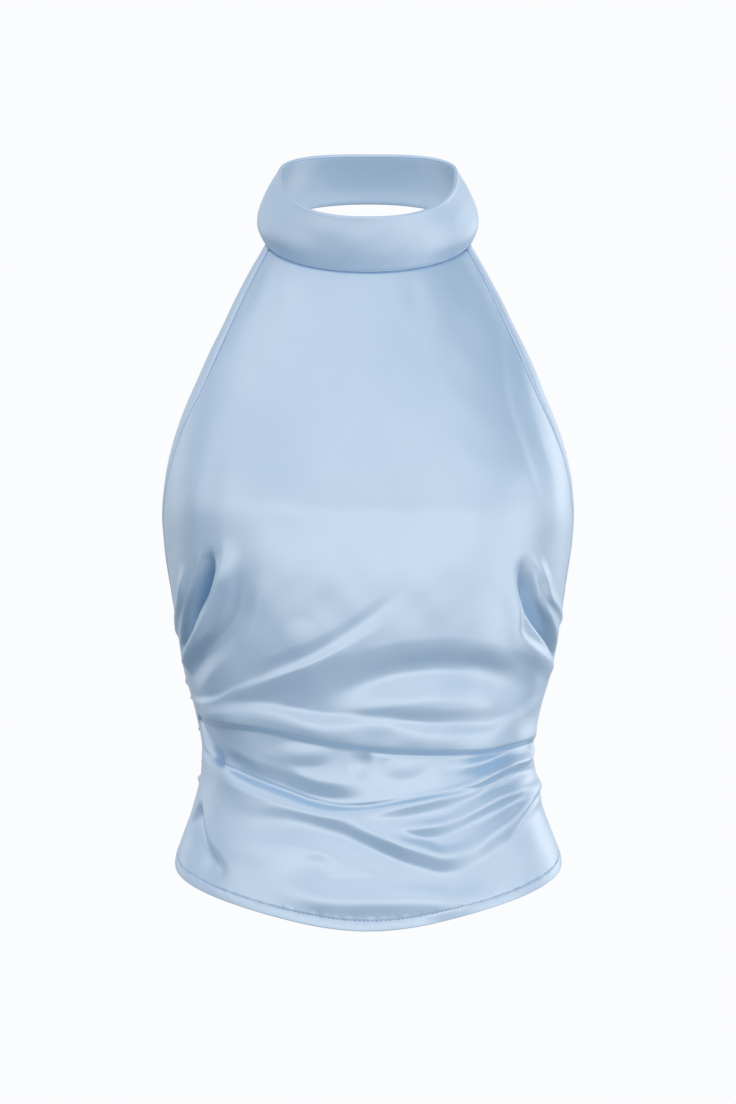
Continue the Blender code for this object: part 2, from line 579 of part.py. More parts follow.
def build():
    for old in list(bpy.data.objects):
        bpy.data.objects.remove(old)
    pale_blue = (0.42, 0.58, 0.77)
    body_satin = satin("body_satin", pale_blue, 0.4)
    collar_satin = satin("collar_satin", pale_blue, 0.4)
    binding_satin = satin("binding_satin", (0.45, 0.61, 0.79), 0.42)
    button_satin = satin("button_satin", pale_blue, 0.38)
    front_panel(body_satin)
    back_panel(body_satin)
    collar(collar_satin)
    armhole_binding("armhole_binding_left", 1, binding_satin)
    armhole_binding("armhole_binding_right", -1, binding_satin)
    back_top_binding(binding_satin)
    for place, rise in zip(("lower", "upper"), BUTTON_RISES):
        button("button_" + place, rise, button_satin)
        button_loop("button_loop_" + place, rise, button_satin)


build()
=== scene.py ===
"""A halter neck top in pale satin, dressed around its fixed solids and filled out as it is worn.

The cloth is drawn on a general figure in two measures:
  turn  degrees round the figure from the centre front, positive towards the wearer's left (+X)
  drop  millimetres straight down from the neck, where the wearer carries the top
Lengths are millimetres until a mesh is made. The front faces -Y.
"""

import json
import math
from collections import namedtuple

import bpy
import numpy as np
from mathutils import Matrix, Vector


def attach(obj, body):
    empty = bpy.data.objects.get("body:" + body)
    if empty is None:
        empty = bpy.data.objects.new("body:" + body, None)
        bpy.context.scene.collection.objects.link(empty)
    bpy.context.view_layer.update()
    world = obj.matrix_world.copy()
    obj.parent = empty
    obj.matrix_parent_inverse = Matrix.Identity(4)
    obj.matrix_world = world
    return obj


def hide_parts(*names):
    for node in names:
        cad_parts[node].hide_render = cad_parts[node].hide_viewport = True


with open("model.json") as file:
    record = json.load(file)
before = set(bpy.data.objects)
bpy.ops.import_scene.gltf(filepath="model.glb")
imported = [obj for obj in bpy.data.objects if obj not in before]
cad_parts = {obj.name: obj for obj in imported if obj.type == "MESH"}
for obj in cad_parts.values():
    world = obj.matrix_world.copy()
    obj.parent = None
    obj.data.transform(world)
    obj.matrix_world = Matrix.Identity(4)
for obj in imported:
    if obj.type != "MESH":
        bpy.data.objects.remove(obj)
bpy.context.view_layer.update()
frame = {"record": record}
METRES = 0.001
SLOT_OF = {row["node"]: row["material_slot"] for row in frame["record"]["subparts"]}

# ---- sizes ----------------------------------------------------------------------------------
SEAM_GAP = 0.35                         # room left between pieces where they meet
FRONT_NECK, FRONT_HEM = 21.0, 491.0     # drops at the centre front
BACK_TOP, BACK_HEM = 254.0, 470.0       # drops at the centre back
UNDERARM, SIDE_HEM = 268.0, 443.0       # drops at the side seam
SIDE_SEAM = 92.0                        # turn of the side seams
NECK_BLEND = 110.0                      # drop by which the front has left the collar's curve
HEM_DIP_FULLNESS = 0.04
COLLAR_LEAN = math.radians(25)
COLLAR_WALL, COLLAR_CORNER, COLLAR_OVERHANG, COLLAR_SWEEP = 3.0, 82.0, 1.2, 1.5
COLLAR_FULLNESS, COLLAR_INSIDE = 0.7, -0.35     # how much its waves show outside and inside
COLLAR_ROUND = 0.08                     # metres of flat cloth to a radian round the collar
BUTTON_RADIUS, BUTTON_DOME, BUTTON_EDGE = 5.5, 3.4, 0.5
BUTTON_SHANK_RADIUS, BUTTON_SHANK = 1.7, 2.3
BUTTON_OFFSET, BUTTON_RISES = 7.5, (11.0, 29.0)
LOOP_CORD, LOOP_RADIUS, LOOP_FOOT, LOOP_WAIST, LOOP_END = 0.8, 3.1, 4.5, 2.2, 1.3
LOOP_RINGS, LOOP_SIDES = 90, 12

# ---- sewing ---------------------------------------------------------------------------------
BINDING_WIDTH = 13.0
BINDING_END, BINDING_TAPER, BINDING_TAPER_PAST = 266.0, 8.0, 0.45
BACK_TOP_HALF = 190.0         # cloth length of half the back's top edge
LIP = 1.9                     # narrow edge of a binding, outside its stitched groove
TUCK = 0.9                    # how deep a panel's edge runs in under its binding
HEM_FOLD = 0.9                # thickness of the turned hem
HEM_STITCH = 6.8              # from the hem's edge up to its row of stitches
HEM_GROOVE, HEM_FULLNESS = 0.34, 0.30   # depth of its row of stitches, swell of the band below
HEM_TOP = 9.6                 # from the hem's edge up to where its fine rows begin
FINE_FROM = 205.0             # drop from which the front's rows lie close, for the folds
FRONT_ROWS, FRONT_COLUMNS, BACK_ROWS, BACK_COLUMNS = 238, 277, 165, 190
FRONT_FLAT_HALF, FRONT_HEM_HALF, BACK_HALF = 225.0, 215.0, 200.0      # half widths of the cloth
SEAM_STEPS = (0, 0.9, 3.5, 7.0)   # how far in the cloth stands, column by column, at a side seam
SIDE_SEAM_FROM = 262.0        # drop at which the side seam takes over from the binding
EDGE_ROOM = 0.0006            # share of the front's half width between it and its binding
EDGE_ROUND, EDGE_ROUND_SHARE = 0.8, 0.0075      # how far its edge rounds in, and over what share
# Waves of the collar: height, waves round it, radians for a millimetre of rise, shift.
COLLAR_WAVES = [(0.30, 3, 0, 0.6), (0.22, 7, 0.12, 0), (0.12, 13, -0.2, 1)]
COLLAR_PUCKERS = [(0.09, 46, 0, 0), (0.08, 31, 0, 2)]
NECK_EDGE = {0: -1.3, 0.5: -0.8, 1.2: -0.3, 2.2: -0.08}   # pressed in under the collar: drop, lift
NECK_ALLOWANCE = [(3.0, 1.6), (1.0, 1.8), (0.1, 2.0)]     # cloth inside the collar: rise, inward
HEM_PUCKERS = [(0.10, 1.6, 0), (0.08, 2.7, 1.3)]          # height, length to a radian, shift
BINDING_PUCKERS = [(0.07, 1.15, 0), (0.06, 2.1, 0.8)]
STITCH_PITCH, STITCH_LENGTH, STITCH_THREAD = 3.1, 2.3, 0.2
STITCH_RINGS, STITCH_SIDES = 7, 6

# ---- the figure: level sections -------------------------------------------------------------
SIDE_SHARPNESS = 6            # how quickly a section's front passes into its back at the sides
Section = namedtuple("Section", "drop half_breadth front_depth back_depth squareness")
FIGURE = [Section(*row) for row in [
    (-20, 82, 33, 70, 2.3),
    (0, 89, 42, 76, 2.3),
    (21, 100, 51, 84, 2.35),         # base of the neck
    (60, 115.5, 69, 92, 2.5),
    (100, 130, 87, 97, 2.6),
    (140, 142.5, 104.5, 100, 2.7),
    (175, 149, 117.5, 101, 2.8),
    (195, 149.5, 121.5, 101, 2.8),   # fullest
    (220, 147.5, 121.5, 99, 2.7),
    (262, 141.5, 119, 94, 2.5),
    (300, 136.5, 113, 86, 2.35),
    (342, 125, 102, 79, 2.3),
    (375, 121, 96.5, 77, 2.25),      # waist
    (405, 127, 97, 82, 2.25),
    (443, 140, 102, 92, 2.25),
    (490, 149, 106, 99, 2.25),
    (510, 151, 107, 100, 2.25),      # high hip
]]

# The cut edge of the front panel, from the collar down the side: drop, turn.
FRONT_EDGE = [
    (0, 72), (40, 71.8), (77, 72), (110, 73.5), (137, 76), (160, 78.5), (178, 80.5), (205, 83.5),
    (235, 87), (262, 91), (UNDERARM, SIDE_SEAM), (SIDE_HEM, SIDE_SEAM),
]

# The collar: rings up its leaning axis.
Ring = namedtuple("Ring", "rise front_rise back_rise centre half_breadth front back "
                          "front_squareness back_squareness")
COLLAR = [
    Ring(0, 0.5, 1, 20, 77, 70, 70, 2.0, 2.3),
    Ring(12, 12.5, 12, 21, 81.5, 70.3, 71, 2.05, 2.35),
    Ring(26, 25.6, 25, 32, 76.5, 79.2, 60, 2.2, 2.5),
    Ring(40, 38.3, 39, 45, 66.5, 89, 45, 2.4, 2.7),
]
COLLAR_RISE = COLLAR[-1].rise

# Round a folded binding: distance from its stitched edge, and lift off the cloth.
BINDING_PROFILE = [
    (0.0, -0.7), (0.05, 0.05), (0.25, 0.5), (0.8, 0.78), (1.4, 0.6), (LIP, -0.02), (2.3, 0.35),
    (2.9, 0.58), (6.0, 0.72), (10.0, 0.62), (11.9, 0.45), (12.6, 0.1), (12.92, -0.35),
    (BINDING_WIDTH, -0.8), (12.85, -1.25), (12.3, -1.55), (8.0, -1.72), (3.0, -1.72), (0.8, -1.68),
    (0.15, -1.4),
]

# ---- folds ----------------------------------------------------------------------------------
# A fold runs along its path of (turn, drop) points. Its height stands out from the figure and
# falls away to nothing within left and right, the widths on either hand for someone who walks
# the path. A small crisp makes a sharp crest. The fades are the shares of its length over which
# it dies away at its two ends.
Fold = namedtuple("Fold", "name height left right crisp fade_in fade_out path")
FRONT_FOLDS = [
    Fold("drape_ridge", 2.1, 4.5, 15, 0.4, 0.1, 0.7,
         [(-84, 332), (-61, 330), (-48.5, 321.5), (-33, 311.5), (-19.3, 301), (-9, 291),
          (4.2, 276), (16, 256)]),
    Fold("drape_crease", -0.9, 9, 7, 0.5, 0.35, 0.35,
         [(-50, 315), (-35, 305.5), (-22, 296), (-12, 286), (-3, 274), (8, 257), (15, 243)]),
    Fold("under_drape", -6.8, 25, 22, 0.45, 0.5, 0.25,
         [(-31, 331), (-19, 325.5), (-7, 319), (10.8, 310.5), (27, 307.5), (42.7, 311),
          (56.3, 320), (69.4, 329.5)]),
    Fold("pouf_crest", 2.8, 26, 13, 0.9, 0.35, 0.35,
         [(-15, 333), (5, 332), (25, 332), (44.3, 332), (57, 329)]),
    Fold("tongue_ridge", 2.5, 9, 15, 0.6, 0.1, 0.3,
         [(-69.9, 341), (-47.3, 336.5), (-37, 337.5), (-27.1, 341.5), (-16, 345), (5, 345.5),
          (13, 348), (25, 351.5), (45.2, 352), (52.9, 348), (62.9, 340.5), (69.4, 333.6),
          (86.8, 329.1)]),
    Fold("pouf_lip", 3.1, 17, 6.5, 0.5, 0.06, 0.05,
         [(-76, 340), (-59.9, 343), (-42.5, 346), (-27.5, 351.5), (-11.5, 356.5), (5, 360),
          (26, 362), (46, 362.5), (58.9, 359), (86.7, 355)]),
    Fold("pouf_crease", -0.9, 4, 2.5, 0.5, 0.35, 0.05,
         [(-15, 358), (-5.5, 362.5), (5, 365.5), (13, 367), (26, 368), (40, 367.5), (58, 365.5),
          (74, 364), (88, 361)]),
    Fold("side_pocket", -12, 11, 6, 0.5, 0.1, 0.3, [(-79, 342), (-77, 353.5), (-72, 364.7), (-61, 377)]),
    Fold("long_tuck", -5.2, 13.5, 13, 0.6, 0.15, 0.35,
         [(-64, 369), (-52.5, 380), (-41, 387), (-29, 394), (-18, 398.5), (-6, 400), (4, 398.5)]),
    Fold("long_crease", -1.4, 2.5, 3.6, 0.5, 0.05, 0.15,
         [(-84, 364.5), (-68.3, 372.6), (-52.9, 382), (-35.9, 391.8), (-23.7, 399.2), (-11.9, 403),
          (1, 402.5), (16.5, 398.3), (32.6, 393.8), (48, 388.8), (60.9, 382.8)]),
    Fold("long_edge", 1.4, 8, 20, 0.5, 0.05, 0.4,
         [(-89.5, 368), (-68.3, 378.8), (-52.9, 388.2), (-35.9, 398), (-23.7, 405.4), (-11.9, 409),
          (1, 408.5), (16.5, 404.5), (32.6, 400), (48, 395), (60.9, 389), (80.1, 381)]),
    Fold("side_hollow_right", -4, 11, 7, 0.6, 0.4, 0.1, [(28, 378), (45, 375), (60, 370), (80, 364)]),
    Fold("gather_1", 3, 7.2, 7.2, 0.7, 0, 0.35,
         [(81.1, 365.6), (63.1, 370.7), (53.1, 378.7), (41.7, 386), (28.9, 393.5)]),
    Fold("gather_2", 4.2, 9, 7, 0.6, 0.2, 0.4,
         [(90, 371), (59.5, 375), (49, 382.5), (40.5, 391), (25.5, 398.5), (13.5, 403), (1, 408),
          (-8, 411)]),
    Fold("gather_3", 1.8, 5, 5, 0.7, 0, 0.4, [(92, 380), (76, 384), (62, 389), (54, 394)]),
    Fold("gather_4", 1.2, 4, 4, 0.7, 0, 0.4, [(92, 376), (78, 378), (66, 382)]),
    Fold("gather_5", 4.4, 9, 8, 0.6, 0.12, 0.3,
         [(92, 387), (77, 391), (56.5, 397), (48.5, 401.5), (41.5, 407.5), (35, 413), (28, 417),
          (16, 419), (6, 417.5), (-1, 414)]),
    Fold("gather_6", 4.8, 13, 10, 0.6, 0.1, 0.25,
         [(90, 394), (73.5, 399), (64, 406), (56.5, 415), (47, 424.5), (37.5, 435), (29, 438.5),
          (21.5, 434.5), (10, 427.5), (-2, 418.5), (-9, 411.5)]),
    Fold("right_crease", -2.2, 4.5, 4.5, 0.5, 0, 0.5,
         [(90, 396), (73.5, 401), (61, 416), (56, 425), (51, 433)]),
    Fold("low_trough", -3.1, 12, 17, 1, 0.5, 0.5,
         [(-69.8, 416), (-51, 415), (-33.5, 415), (-23.5, 418), (-11.5, 424), (-2, 431.5),
          (7, 438), (14, 444.5), (21.5, 450.5), (29.5, 454), (40, 454), (48.5, 452)]),
    Fold("flare_crease", -6.8, 12, 25, 0.7, 0.1, 0.35,
         [(-79, 407), (-72, 421), (-66, 434), (-58.5, 448), (-52, 462)]),
    Fold("flare_ridge", 1.2, 10, 10, 0.9, 0.2, 0.4,
         [(-84, 420), (-69.9, 434), (-62.9, 449.6), (-51.2, 461.1)]),
    Fold("sheen_swell", 1.1, 12.1, 16.8, 0.9, 0.3, 0.5, [(-60.1, 428), (-45.1, 432.5), (-26.1, 434)]),
    Fold("hem_swell", 3.6, 16, 15, 0.9, 0.3, 0.3,
         [(-40.5, 456.8), (-26, 465.2), (-9, 469.5), (12, 468.9), (30, 469.9), (50.7, 467)]),
    Fold("underarm_crest", 4.4, 14, 5, 0.5, 0.3, 0,
         [(-45, 210.8), (-45.4, 229.1), (-51, 257.3), (-59.6, 279), (-73.4, 300.1)]),
    Fold("underarm_pit", -24, 6, 10, 0.4, 0.35, 0,
         [(-49, 218.5), (-52.5, 243.3), (-61, 265.8), (-75, 294.8)]),
    Fold("underarm_bulge", 3, 7, 8, 0.6, 0.3, 0.1, [(-59.8, 229), (-68.9, 258), (-86, 284)]),
    Fold("bust_dip_left", -4.5, 15, 11, 0.91, 0.4, 0.25,
         [(-38, 218.1), (-39.6, 243), (-42.5, 263.1), (-50, 284), (-62, 300), (-78, 318)]),
    Fold("bust_crest_right", 2.2, 8.1, 5, 0.5, 0.3, 0,
         [(50.8, 220.2), (59.4, 242.5), (66.3, 257.9), (85.8, 273)]),
    Fold("bust_pit_right", -13, 11.6, 8.1, 0.59, 0.35, 0,
         [(49, 223.4), (51.9, 250.1), (60.2, 272.2), (82.9, 299.8)]),
    Fold("side_crest_right", 2.4, 7, 14, 0.51, 0.35, 0,
         [(46, 237.1), (49.7, 263.7), (53.8, 286.4), (77, 305.5)]),
    Fold("chest_left", -0.7, 14, 12, 0.9, 0.4, 0.3, [(-52, 125), (-48.9, 172), (-52.2, 228.8)]),
    Fold("chest_right", -1.5, 12.6, 11.4, 0.91, 0.4, 0.3,
         [(65.9, 56), (56.9, 114), (55.7, 175), (59, 207)]),
]
BACK_FOLDS = [              # turns run on from 92 at the wearer's left side to 268 at the right
    Fold("drape", 5.5, 6, 17, 0.35, 0.1, 0.45,
         [(92, 322), (108, 326), (132, 336), (158, 345), (188, 348), (214, 342)]),
    Fold("drape_low", 6, 5, 16, 0.35, 0.15, 0.1,
         [(118, 366), (140, 380), (168, 391), (200, 394), (228, 385), (250, 372), (268, 362)]),
    Fold("tuck_left", -5, 9, 5, 0.6, 0.05, 0.4, [(92, 342), (112, 350), (136, 362), (160, 368)]),
    Fold("tuck_right", -5, 8, 5, 0.6, 0.4, 0.05, [(206, 362), (228, 358), (250, 346), (268, 340)]),
    Fold("gather", 4.5, 6, 8, 0.5, 0.4, 0.05, [(196, 322), (224, 326), (250, 322), (268, 316)]),
    Fold("pleat_left", 4, 5, 7, 0.4, 0.05, 0.45, [(92, 386), (110, 396), (130, 410), (152, 420)]),
    Fold("pleat_right", 4, 5, 7, 0.4, 0.45, 0.05, [(214, 416), (234, 406), (252, 394), (268, 388)]),
    Fold("underarm_left", -5, 8, 8, 0.6, 0.3, 0.05, [(128, 262), (112, 280), (96, 300)]),
    Fold("underarm_right", -5, 8, 8, 0.6, 0.3, 0.05, [(236, 262), (250, 282), (264, 302)]),
    Fold("hem_swell", 3, 12, 12, 0.9, 0.35, 0.35, [(120, 440), (156, 448), (196, 446), (232, 438)]),
    Fold("pinch_1", 2.6, 3, 4, 0.4, 0, 0.5, [(92, 356), (106, 359), (122, 366)]),
    Fold("pinch_2", 2.4, 3, 3, 0.4, 0, 0.5, [(92, 369), (104, 373), (120, 382), (132, 388)]),
    Fold("pinch_3", 2.2, 3, 4, 0.4, 0, 0.5, [(92, 398), (103, 406), (114, 417)]),
    Fold("pinch_4", 2.6, 3, 4, 0.4, 0.5, 0, [(240, 334), (256, 331), (268, 329)]),
    Fold("pinch_5", 2.4, 3, 3, 0.4, 0.5, 0, [(232, 374), (250, 361), (268, 352)]),
    Fold("pinch_6", 2.2, 3, 4, 0.4, 0.5, 0, [(244, 398), (256, 386), (268, 376)]),
    Fold("sway", -2.5, 14, 14, 0.9, 0.4, 0.4, [(152, 300), (176, 312), (204, 308)]),
]
FOLD_ROUND = 125.0            # radius at which a turn is measured along the cloth, for the folds
SEAM_HOLD = 0.65              # share of a fold's height that is left at the side seams
SEAM_REACH = 34.0             # turn within which the side seams hold the folds down
PATH_STEPS = 8                # straight pieces between two points of a fold's path

# A swell is a soft round rise or dip, not a fold: its half sizes lie across and down the cloth,
# and its tilt is the number of degrees that its length turns up towards the wearer's left.
Swell = namedtuple("Swell", "name height turn drop across down tilt")
SWELLS = [
    Swell("recess_light", 1.5, -26.3, 366.1, 29.2, 10.4, 0),
    Swell("recess_dark", -1, -36, 381, 28, 11, -26),
    Swell("recess_dimple", -2.2, -3, 373, 13, 14, 0),
    Swell("recess_gleam", 1, 15.3, 375.7, 24, 10, 8),
    Swell("hem_dimple", -1.4, -20.8, 444.9, 18, 11, 0),
    Swell("bust_light", 0.7, -23.2, 285.5, 16.9, 17.8, 0),
]

# Waves too slight to be folds, which keep the sheen from lying dead smooth. Each is a wave's
# height, its whole waves round the figure, its waves per metre down, and its shift in waves.
Wave = namedtuple("Wave", "height around down shift")
LIMPNESS = [
    Wave(0.22, 5, 4.0, 0.10), Wave(0.20, -4, 9.0, 0.35), Wave(0.16, 10, -6.0, 0.80),
    Wave(0.14, 2, 16.0, 0.55), Wave(0.09, 16, 12.0, 0.20), Wave(0.07, -13, 25.0, 0.65),
    Wave(0.05, 26, -20.0, 0.90), Wave(0.04, -23, -37.0, 0.45),
]


def curve_through(xs, ys):
    """A smooth function through a table's values."""
    xs, ys = np.asarray(xs, float), np.asarray(ys, float)
    slope = np.gradient(ys, xs)
    level = np.diff(ys) == 0
    slope[:-1][level] = slope[1:][level] = 0    # a level stretch of the table stays level

    def value(x):
        x = np.clip(np.asarray(x, float), xs[0], xs[-1])
        i = np.clip(np.searchsorted(xs, x, side="right") - 1, 0, len(xs) - 2)
        step = xs[i + 1] - xs[i]
        t = (x - xs[i]) / step
        return ((2 * t**3 - 3 * t**2 + 1) * ys[i] + (t**3 - 2 * t**2 + t) * step * slope[i]
                + (3 * t**2 - 2 * t**3) * ys[i + 1] + (t**3 - t**2) * step * slope[i + 1])
    return value


def curves_of(table):
    """A smooth function of a table's first column for each of its others."""
    first, *others = zip(*table)
    return [curve_through(first, values) for values in others]


figure_curves, collar_curves = curves_of(FIGURE), curves_of(COLLAR)
edge_turn, = curves_of(FRONT_EDGE)


def ease(t):
    """Goes smoothly from 0 to 1 as t does."""
    t = np.clip(t, 0, 1)
    return t * t * (3 - 2 * t)


def together(*values):
    """The values as arrays of one shape."""
    return np.broadcast_arrays(*(np.asarray(value, float) for value in values))


def bell(x, middle, width):
    return np.exp(-((x - middle) / width)**2)


def unit(vectors):
    return vectors / np.linalg.norm(vectors, axis=-1, keepdims=True)


def lengths_along(line):
    """How far along a line each of its points lies."""
    return np.append(0, np.cumsum(np.linalg.norm(np.diff(line, axis=0), axis=1)))


def oval(turn, half_breadth, front, back, front_squareness, back_squareness):
    """Across and forward distances of a point on a rounded oval."""
    across, ahead = np.sin(np.radians(turn)), np.cos(np.radians(turn))
    is_front = 0.5 + 0.5 * np.tanh(ahead * SIDE_SHARPNESS)
    depth = front * is_front + back * (1 - is_front)
    power = front_squareness * is_front + back_squareness * (1 - is_front)
    radius = (np.abs(across / half_breadth)**power + np.abs(ahead / depth)**power)**(-1 / power)
    return radius * across, radius * ahead


def figure(turn, drop):
    """A point on the bare figure."""
    half_breadth, front, back, squareness = (curve(drop) for curve in figure_curves)
    x, forward = oval(turn, half_breadth, front, back, squareness, squareness)
    return np.stack([x, -forward, -drop + 0 * x], -1)


def fold_path(points):
    """A smooth line through a fold's points, measured along the cloth."""
    p = np.array([(math.radians(turn) * FOLD_ROUND, -drop) for turn, drop in points])
    p = np.vstack([2 * p[0] - p[1], p, 2 * p[-1] - p[-2]])
    t = np.linspace(0, 1, PATH_STEPS, endpoint=False)[:, None]
    pieces = []
    for a, b, c, d in zip(p, p[1:], p[2:], p[3:]):
        pieces.append(0.5 * (2 * b + (c - a) * t + (2 * a - 5 * b + 4 * c - d) * t**2
                             + (3 * b - a - 3 * c + d) * t**3))
    return np.vstack(pieces + [p[-2][None]])


def fold_height(fold, x, z):
    """What one fold adds at points (x, z) measured along the cloth."""
    path = fold_path(fold.path)
    reach = max(fold.left, fold.right)
    (left, low), (right, high) = path.min(0) - reach, path.max(0) + reach
    near = (x > left) & (x < right) & (z > low) & (z < high)
    result = np.zeros(len(x))
    x, z = x[near], z[near]
    leg = np.diff(path, axis=0)
    length = np.linalg.norm(leg, axis=1)
    start = lengths_along(path)
    away_x = x[:, None] - path[None, :-1, 0]
    away_z = z[:, None] - path[None, :-1, 1]
    share = np.clip((away_x * leg[:, 0] + away_z * leg[:, 1]) / length**2, 0, 1)
    away = np.hypot(away_x - share * leg[:, 0], away_z - share * leg[:, 1])
    nearest = away.argmin(1)
    row = np.arange(len(x))
    on_left = leg[nearest, 0] * away_z[row, nearest] - leg[nearest, 1] * away_x[row, nearest] >= 0
    along = (start[nearest] + share[row, nearest] * length[nearest]) / start[-1]
    off = away[row, nearest] / np.where(on_left, fold.left, fold.right)
    soft = (np.hypot(off, fold.crisp) - fold.crisp) / (math.hypot(1, fold.crisp) - fold.crisp)
    height = fold.height * np.clip(1 - soft, 0, 1)**2
    for from_end, fade in ((along, fold.fade_in), (1 - along, fold.fade_out)):
        if fade:
            height = height * ease(from_end / fade)
    result[near] = height
    return result


def swell_height(swell, x, z):
    """What one swell adds at points (x, z) measured along the cloth."""
    tilt = math.radians(swell.tilt)
    away_x, away_z = x - math.radians(swell.turn) * FOLD_ROUND, z + swell.drop
    along = away_x * math.cos(tilt) + away_z * math.sin(tilt)
    over = away_z * math.cos(tilt) - away_x * math.sin(tilt)
    return swell.height * np.clip(1 - (along / swell.across)**2 - (over / swell.down)**2, 0, 1)**2


def limpness(turn, drop):
    """The slight waves of limp cloth."""
    return sum(wave.height * np.sin(2 * math.pi * (wave.around * turn / 360 + wave.down * drop * METRES
                                                   + wave.shift))
               for wave in LIMPNESS)


def relief(turn, drop):
    """How far the cloth stands off the figure."""
    turn, drop = together(turn, drop)
    z = -drop.ravel()
    total = np.zeros(turn.size)
    for shapes, height, counted in ((FRONT_FOLDS, fold_height, turn), (BACK_FOLDS, fold_height, turn % 360),
                                    (SWELLS, swell_height, turn)):
        x = np.radians(counted.ravel()) * FOLD_ROUND
        for shape in shapes:
            total += height(shape, x, z)
    from_seam = np.abs(np.abs(turn) - SIDE_SEAM)
    hold = SEAM_HOLD + (1 - SEAM_HOLD) * ease(from_seam / SEAM_REACH)
    return total.reshape(turn.shape) * hold + limpness(turn, drop)


def outward_of(surface, a, b):
    """Outward normals of surface(a, b); a runs towards +X at the front and b downwards."""
    step_a, step_b = NORMAL_STEPS[surface]
    along = surface(a + step_a, b) - surface(a - step_a, b)
    up = surface(a, b - step_b) - surface(a, b + step_b)
    return unit(np.cross(along, up))


def cloth(turn, drop):
    """A point on the folded cloth."""
    return figure(turn, drop) + outward_of(figure, turn, drop) * relief(turn, drop)[..., None]


def collar_face(turn, rise, inward=0.0):
    """A point on the band's outer face, or inward of it; turn is measured round the band."""
    turn, rise, inward = together(turn, rise, inward)
    front_rise, back_rise, centre, *sizes, front_squareness, back_squareness = (
        curve(rise) for curve in collar_curves)
    x, forward = oval(turn, *(size - inward for size in sizes), front_squareness, back_squareness)
    ahead = np.cos(np.radians(turn))
    front_share = np.clip(ahead, 0, 1)**COLLAR_SWEEP
    back_share = np.clip(-ahead, 0, 1)**COLLAR_SWEEP
    up = rise * (1 - front_share - back_share) + front_rise * front_share + back_rise * back_share
    up = up + np.minimum(rise, 0) * (front_share + back_share)      # on past the lower edge
    level = centre - forward
    y = level * math.cos(COLLAR_LEAN) - up * math.sin(COLLAR_LEAN)
    z = level * math.sin(COLLAR_LEAN) + up * math.cos(COLLAR_LEAN)
    return np.stack([x, y, z], -1)


def side_share(across):
    """0 at the centre and 1 at the side seams."""
    return 1 - np.cos(across * math.pi / 2)


def front_sheet(across, side_drop):
    """The front from edge to edge: across runs -1 to 1, side_drop is the drop at its edge."""
    across, side_drop = together(across, side_drop)
    dip = side_share(across) + HEM_DIP_FULLNESS * np.sin(across * math.pi)**2
    centre_drop = FRONT_NECK + side_drop * (FRONT_HEM - FRONT_NECK) / SIDE_HEM
    body = cloth(across * edge_turn(side_drop), centre_drop + (side_drop - centre_drop) * dip)
    neck = cloth(across * edge_turn(0), FRONT_NECK * (1 - dip))
    seam = collar_face(across * COLLAR_CORNER, -SEAM_GAP, inward=COLLAR_OVERHANG)
    return body + (seam - neck) * ease(1 - side_drop / NECK_BLEND)[..., None]


def back_sheet(across, down):
    """The back: across runs -1 to 1 from the wearer's left seam to the right, down 0 to 1."""
    across, down = together(across, down)
    side_drop = UNDERARM + (SIDE_HEM - UNDERARM) * down
    centre_drop = BACK_TOP + (BACK_HEM - BACK_TOP) * down
    turn = 180 + across * (180 - SIDE_SEAM)
    return cloth(np.where(turn > 180, turn - 360, turn),
                 centre_drop + (side_drop - centre_drop) * side_share(across))


# Half the steps over which each surface's normals are taken, in its own two measures.
NORMAL_STEPS = {figure: (0.5, 0.5), front_sheet: (0.002, 0.5), back_sheet: (0.002, 0.002)}


def back_height(across):
    """The back's length from its top edge to its hem."""
    share = side_share(across)
    return (BACK_HEM - BACK_TOP) * (1 - share) + (SIDE_HEM - UNDERARM) * share


def strip_share(side_drop):
    """The share of the front's half width that its armhole binding takes."""
    taper_end = BINDING_END + BINDING_TAPER_PAST * BINDING_TAPER
    edge = edge_turn(side_drop)
    degree = np.linalg.norm(figure(edge, side_drop) - figure(edge - 1, side_drop), axis=-1)
    return BINDING_WIDTH * ease((taper_end - side_drop) / BINDING_TAPER) / degree / edge


# ---- making meshes --------------------------------------------------------------------------
def add_piece(name, points, faces, flat, material, node=None, slot=None):
    """A smooth piece in place of its node; flat, its points' places on the flat cloth, is a UV map."""
    mesh = bpy.data.meshes.new(name)
    mesh.from_pydata((points.reshape(-1, 3) * METRES).tolist(), [], faces)
    mesh.validate()
    corner = np.zeros(len(mesh.loops), np.int32)
    mesh.loops.foreach_get("vertex_index", corner)
    places = flat.reshape(-1, 2)[corner].astype(np.float32)
    mesh.uv_layers.new(name="cloth").data.foreach_set("uv", places.ravel())
    mesh.materials.append(material)
    mesh.shade_smooth()
    piece = bpy.data.objects.new(name, mesh)
    bpy.context.scene.collection.objects.link(piece)
    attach(piece, "root")
    if node:
        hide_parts(node)
    slot or SLOT_OF[node]
    return piece


def grid_faces(rows, cols, round_rows=False, round_cols=False):
    """Quads between neighbouring points of a grid, its last row or column joined to its first."""
    r, c = np.meshgrid(np.arange(rows - (not round_rows)), np.arange(cols - (not round_cols)),
                       indexing="ij")
    r2, c2 = (r + 1) % rows, (c + 1) % cols
    return np.stack([r * cols + c, r2 * cols + c, r2 * cols + c2, r * cols + c2], -1).reshape(-1, 4)


def tube_faces(rows, cols):
    """The faces of a tube that runs along its rows, with a face on either end."""
    ends = [list(range(cols)), list(range((rows - 1) * cols, rows * cols))[::-1]]
    return grid_faces(rows, cols, round_cols=True).tolist() + ends


def lifted(sheet, a, b, lift):
    """Points of a sheet, moved out along its normals where lift isn't nothing."""
    points = sheet(a, b)
    moved = np.abs(lift) > 1e-6
    points[moved] += outward_of(sheet, a[moved], b[moved]) * lift[moved][:, None]
    return points


def puckered(along, puckers):
    """Small waves along a seam."""
    return sum(height * np.sin(along / length + shift) for height, length, shift in puckers)


